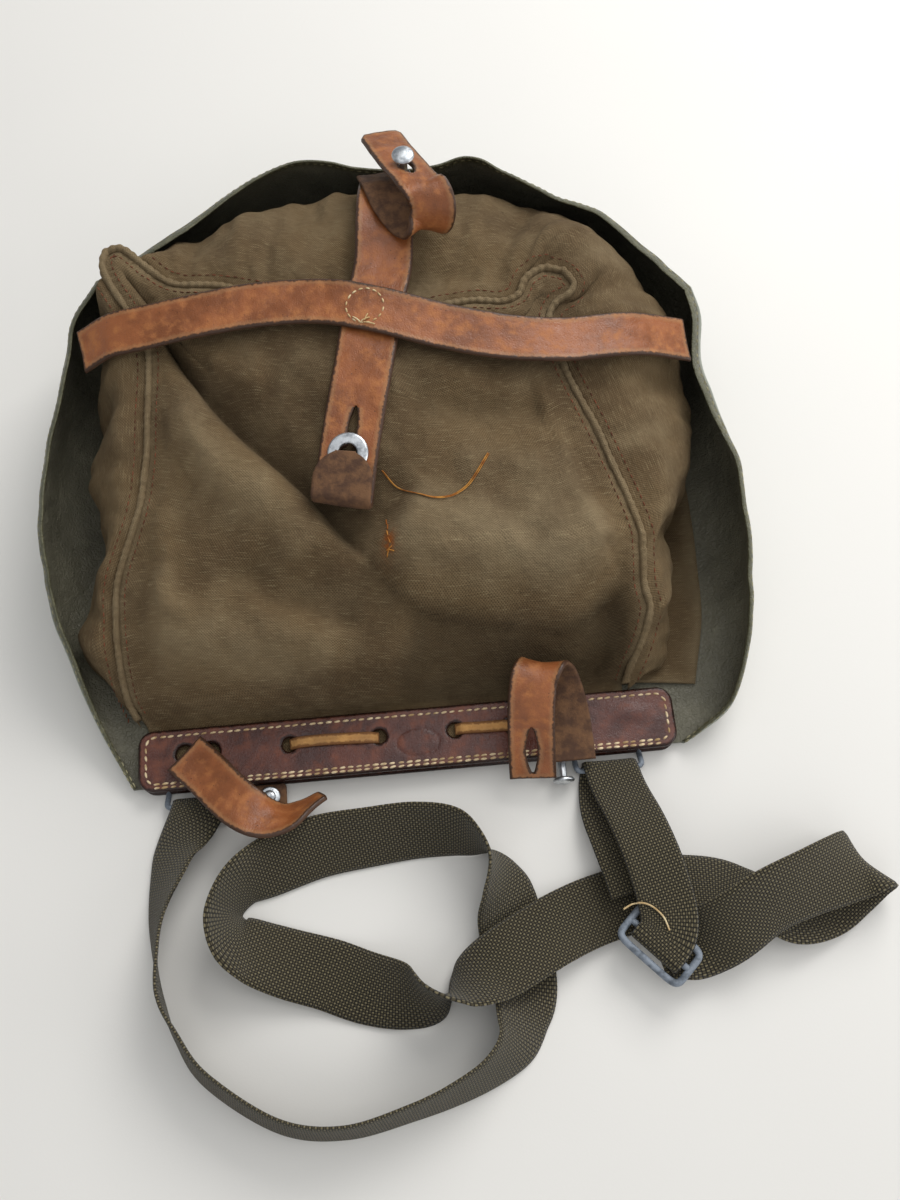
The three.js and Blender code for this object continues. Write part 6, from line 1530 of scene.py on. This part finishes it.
class HAVERSACK_OT_hardware(bpy.types.Operator):
    """Builds the washer, studs, rivet, rings and slider"""

    bl_idname = "haversack.hardware"
    bl_label = "Metal"

    def execute(self, context):
        bright = metal_material("dulled_aluminium", "#D3D6D8", "#8E9296", 0.3)
        paint = metal_material("grey_enamel_on_wire", "#7A828C", "#4E555D", 0.42, 0.0)
        put = np.array(list(context.scene["washer_at"]))
        up = unit(np.cross(unit(put[3:6]), put[6:9]))
        up = up * np.sign(up[2])
        rows = (
            (4, 0.3), (4.3, 0), (8.5, 0), (9, 0.4), (8.9, 0.9), (8.3, 1.4), (4.6, 1.5), (4.1, 1.1), (4, 0.3)
        )
        ring = lathe(dense_profile(rows), 64, put[:3] + up * 1.6, up)
        self.metal("eyelet_washer", [ring], bright, "strap_washer")
        lo, hi = (np.array(c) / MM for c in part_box("closure_stud"))
        foot = [(lo[0] + hi[0]) / 2, (lo[1] + hi[1]) / 2, lo[2]]
        self.metal("closure_stud_turned", [lathe(self.stud(hi[2] - lo[2]), 40, foot)], bright, "closure_stud")
        lo, hi = (np.array(c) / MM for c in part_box("loop_stud"))
        foot = [(lo[0] + hi[0]) / 2, hi[1], (lo[2] + hi[2]) / 2]
        part = lathe(self.stud(hi[1] - lo[1]), 40, foot, (0, -1, 0))
        self.metal("loop_stud_turned", [part], bright, "loop_stud")
        lo, hi = (np.array(c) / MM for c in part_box("snap_rivet"))
        rows = ((0, 0), (4.7, 0), (4.75, 0.5), (4.2, 0.9), (2.9, 1.1), (2.4, 1.8), (1.6, 2.2), (0, 2.3))
        cap = dense_profile(rows)
        part = lathe(cap, 40, [(lo[0] + hi[0]) / 2, (lo[1] + hi[1]) / 2, lo[2]])
        self.metal("snap_rivet_cap", [part], bright, "snap_rivet")
        for node, share in (("ring_left", -0.390), ("ring_right", 0.368)):
            self.metal(node + "_wire", [tube(self.ring(share), 1.3, 14)], paint, node)
        self.slider(paint)
        return {"FINISHED"}

    def stud(self, height):
        """A post on a foot with a domed head."""
        neck = height - 3.15
        head = [(5 * math.cos(a), neck + 1.6 + 1.55 * math.sin(a)) for a in np.linspace(0, math.pi / 2, 9)]
        head[-1] = (0, head[-1][1])
        rows = [(0, 0), (3, 0), (3, 0.8), (1.8, 1.2), (1.8, neck), (4.3, neck + 0.4), (4.9, neck + 1.1)]
        return dense_profile(rows + head)

    def ring(self, share):
        """A wire that comes out from under the yoke, along, and back in."""
        x, half, low = share * YOKE_LENGTH, (32.8 - 2.6) / 2, GAP + 1.3
        bar, high = NEAR_Y - 7, low + 3.2
        side = np.array([
            (half, NEAR_Y + 10, low), (half, NEAR_Y + 4, low), (half, NEAR_Y - 0.5, low),
            (half, bar + 2, high - 0.4), (half - 0.6, bar + 0.6, high), (half - 2, bar, high),
            (half - 6, bar, high),
        ])
        points = np.concatenate([side * [-1, 1, 1], side[::-1]]) + [x, 0, 0]
        return smooth(points, np.linspace(0, 1, 120))

    def slider(self, paint):
        """A flat frame of round-edged wire with a bar across its middle."""
        along = math.radians(-47)
        across = np.array([math.cos(along), math.sin(along)])
        up_way = np.array([-math.sin(along), math.cos(along)])
        t = np.linspace(0, 2 * math.pi, 121)[:-1]
        power = 0.28
        a = np.sign(np.cos(t)) * np.abs(np.cos(t)) ** power * 15.9
        b = np.sign(np.sin(t)) * np.abs(np.sin(t)) ** power * 8.9
        plan = a[:, None] * across + b[:, None] * up_way
        frame_path = np.concatenate([plan + [100, NEAR_Y - 86], np.full((120, 1), 15.0)], 1)
        bar = np.linspace(-15.5, 15.5, 20)[:, None] * across + [100, NEAR_Y - 86]
        bar = np.concatenate([bar, np.full((20, 1), 15.0)], 1)
        parts = [tube(frame_path, 1.6, 12, closed=True), tube(bar, 1.5, 12)]
        self.metal("slider_of_painted_wire", parts, paint, "slider_buckle")

    def metal(self, name, parts, material, node):
        piece = joined(name, parts, material)
        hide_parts(node)
        return piece


class HAVERSACK_OT_sling(bpy.types.Operator):
    """Builds the webbing sling along its route on the table"""

    bl_idname = "haversack.sling"
    bl_label = "Sling"

    def execute(self, context):
        rows = np.asarray(SLING, float).copy()
        rows[:, 1] += NEAR_Y
        middle, across = ribbon_stations(rows, (len(rows) - 1) * 10 + 1)
        t = np.linspace(0, 1, len(middle))
        free = smoothstep((t - 0.05) / 0.05) * smoothstep((0.77 - t) / 0.05)
        share = 0.82 + 0.18 * free
        grid, span, edge, _ = ribbon_surface(middle, across, WEBBING_WIDTH, 16, share=share)
        webbing = webbing_material("olive_cotton_webbing")
        piece = leaf("webbing_sling", grid, WEBBING_THICKNESS, webbing, span * MM, edge, 0.8)
        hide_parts("sling_webbing")
        context.scene["sling_length_m"] = float(span[-1, 0, 0] * MM)
        return {"FINISHED"}


class HAVERSACK_OT_threads(bpy.types.Operator):
    """Adds the loose thread, the darning stitches and the stitched circle on the straps"""

    bl_idname = "haversack.threads"
    bl_label = "Threads"

    def execute(self, context):
        rust = thread_material("rusty_brown_thread", "#B9813A", "#8A4F1E")
        cream = thread_material("frayed_cream_thread", "#DCC9A0", "#B79A6C")
        tree = tree_of(bpy.data.objects["rear_canvas"])
        route = (
            (-1, -20), (4, -27), (11, -33), (19, -36.5), (27, -35.5), (34, -31.5), (40, -25), (45, -17.5),
        )
        plan = smooth(np.array(route, float), np.linspace(0, 1, 90))
        parts = []
        for shift, lift, radius in ((0, 0.5, 0.28), (0.5, 0.8, 0.22)):
            z = [height_at(tree, x + shift, y - shift, 130)[0] + lift for x, y in plan]
            parts.append(tube(np.stack([plan[:, 0] + shift, plan[:, 1] - shift, z], -1), radius, 6))
        darning = (
            (0, 0, 0.4), (0.9, -0.9, -0.5), (-0.7, -1.5, 1.2), (0.3, 3.2, 1.9),
            (-0.2, 6.6, 1.7), (0.1, 9.8, 1.5), (-0.3, 12.8, 1.6),
        )
        for dx, dy, turn in darning:
            way = np.array([math.cos(turn), math.sin(turn)]) * 1.3
            at = np.array([-0.6 + dx, -55.5 + dy])
            line = at + np.linspace(-1, 1, 7)[:, None] * way
            z = [height_at(tree, x, y, 130)[0] + 0.3 for x, y in line]
            parts.append(tube(np.concatenate([line, np.array(z)[:, None]], 1), 0.3, 6))
        joined("loose_threads", parts, rust)
        tree = tree_of(bpy.data.objects["cross_leather"])
        turn = np.linspace(0, 2 * math.pi, 80)
        x, y = -2.4 + 8.2 * np.cos(turn), 50.3 + 7.8 * np.sin(turn)
        path, normals = [], []
        for a, b in zip(x, y):
            z, normal = height_at(tree, a, b, 150)
            if z > 60:
                path.append((a, b, z + 0.1))
                normals.append(normal)
        parts = [stitches(path, normals, 3.1, 2.2, 0.8, 0.3, 0.15, seed=95)]
        tuft = ((-4.5, 43, 0.4, 4), (-3.5, 42.4, -0.3, 5), (-3, 43.2, 1.1, 3.5), (-5, 42.8, 2.4, 4))
        for a, b, way, length in tuft:
            s = np.linspace(0, 1, 12)
            z = height_at(tree, a, b, 150)[0]
            x, y = a + length * s * math.cos(way), b + length * s * math.sin(way)
            line = np.stack([x, y, z + 0.6 + 1.6 * s * (1 - s)], -1)
            parts.append(tube(line, 0.32, 6))
        joined("strap_stitches", parts, cream)
        tree = tree_of(bpy.data.objects["webbing_sling"])
        plan = np.array([(86, -206.5), (91, -204.6), (97, -206), (102, -211), (104, -217)], float)
        plan = smooth(plan, np.linspace(0, 1, 50))
        z = np.array([height_at(tree, x, y, 60)[0] for x, y in plan])
        z = np.maximum(z, z.max() - 2.5) + 0.6
        arc = tube(np.concatenate([plan, z[:, None]], 1), 0.4, 6)
        joined("pale_thread_on_sling", [arc], cream)
        return {"FINISHED"}


class HAVERSACK_OT_stage(bpy.types.Operator):
    """Sets the pale table, the soft lights and the camera"""

    bl_idname = "haversack.stage"
    bl_label = "Stage"

    def execute(self, context):
        mesh = bpy.data.meshes.new("table")
        mesh.from_pydata([(-3, -3, 0), (3, -3, 0), (3, 3, 0), (-3, 3, 0)], [], [(0, 1, 2, 3)])
        mesh.materials.append(floor_material())
        table = bpy.data.objects.new("table", mesh)
        context.collection.objects.link(table)
        for name, place, size, power in (
            ("window_light", (0.62, 0.80, 0.95), 0.8, 12.5), ("ceiling_light", (0.25, 0.1, 1.6), 1.4, 7.0),
            ("room_light", (1.15, -0.35, 0.5), 0.9, 4.5), ("fill_light", (-0.25, -1.25, 0.8), 1.3, 3.2),
        ):
            light = bpy.data.objects.new(name, bpy.data.lights.new(name, "AREA"))
            light.data.size, light.data.energy = size, power
            light.location = place
            way = Vector((0, -0.03, 0.04)) - Vector(place)
            light.rotation_euler = way.to_track_quat("-Z", "Y").to_euler()
            context.collection.objects.link(light)
        world = bpy.data.worlds.new("studio")
        world.use_nodes = True
        world.node_tree.nodes["Background"].inputs[0].default_value = hexed("#E9EDF2")
        world.node_tree.nodes["Background"].inputs[1].default_value = 0.46
        context.scene.world = world
        camera = bpy.data.objects.new("camera", bpy.data.cameras.new("camera"))
        camera.data.lens, camera.data.sensor_width = LENS, SENSOR_WIDTH
        place, aim = Vector(CAMERA_PLACE) * MM, Vector(CAMERA_AIM) * MM
        camera.location = place
        camera.rotation_euler = (aim - place).to_track_quat("-Z", "Y").to_euler()
        context.collection.objects.link(camera)
        context.scene.camera = camera
        context.scene.view_settings.view_transform = "Standard"
        return {"FINISHED"}


OPERATORS = (
    HAVERSACK_OT_flap, HAVERSACK_OT_pouch, HAVERSACK_OT_yoke, HAVERSACK_OT_straps,
    HAVERSACK_OT_hardware, HAVERSACK_OT_sling, HAVERSACK_OT_threads, HAVERSACK_OT_stage,
)


class HAVERSACK_PT_panel(bpy.types.Panel):
    """Lists the bag's settings and pieces"""

    bl_idname = "HAVERSACK_PT_panel"
    bl_label = "Haversack"
    bl_space_type = "VIEW_3D"
    bl_region_type = "UI"
    bl_category = "Haversack"

    def draw(self, context):
        for key in HAVERSACK_PG_sizes.__annotations__:
            self.layout.prop(context.scene.haversack, key)
        for operator in OPERATORS:
            self.layout.operator(operator.bl_idname)


CLASSES = (HAVERSACK_PG_sizes,) + OPERATORS + (HAVERSACK_PT_panel,)


def register():
    for cls in CLASSES:
        bpy.utils.register_class(cls)
    bpy.types.Scene.haversack = bpy.props.PointerProperty(type=HAVERSACK_PG_sizes)


def unregister():
    del bpy.types.Scene.haversack
    for cls in reversed(CLASSES):
        bpy.utils.unregister_class(cls)


def main():
    register()
    for operator in OPERATORS:
        getattr(bpy.ops.haversack, operator.bl_idname.split(".")[1])()


if __name__ == "__main__":
    main()
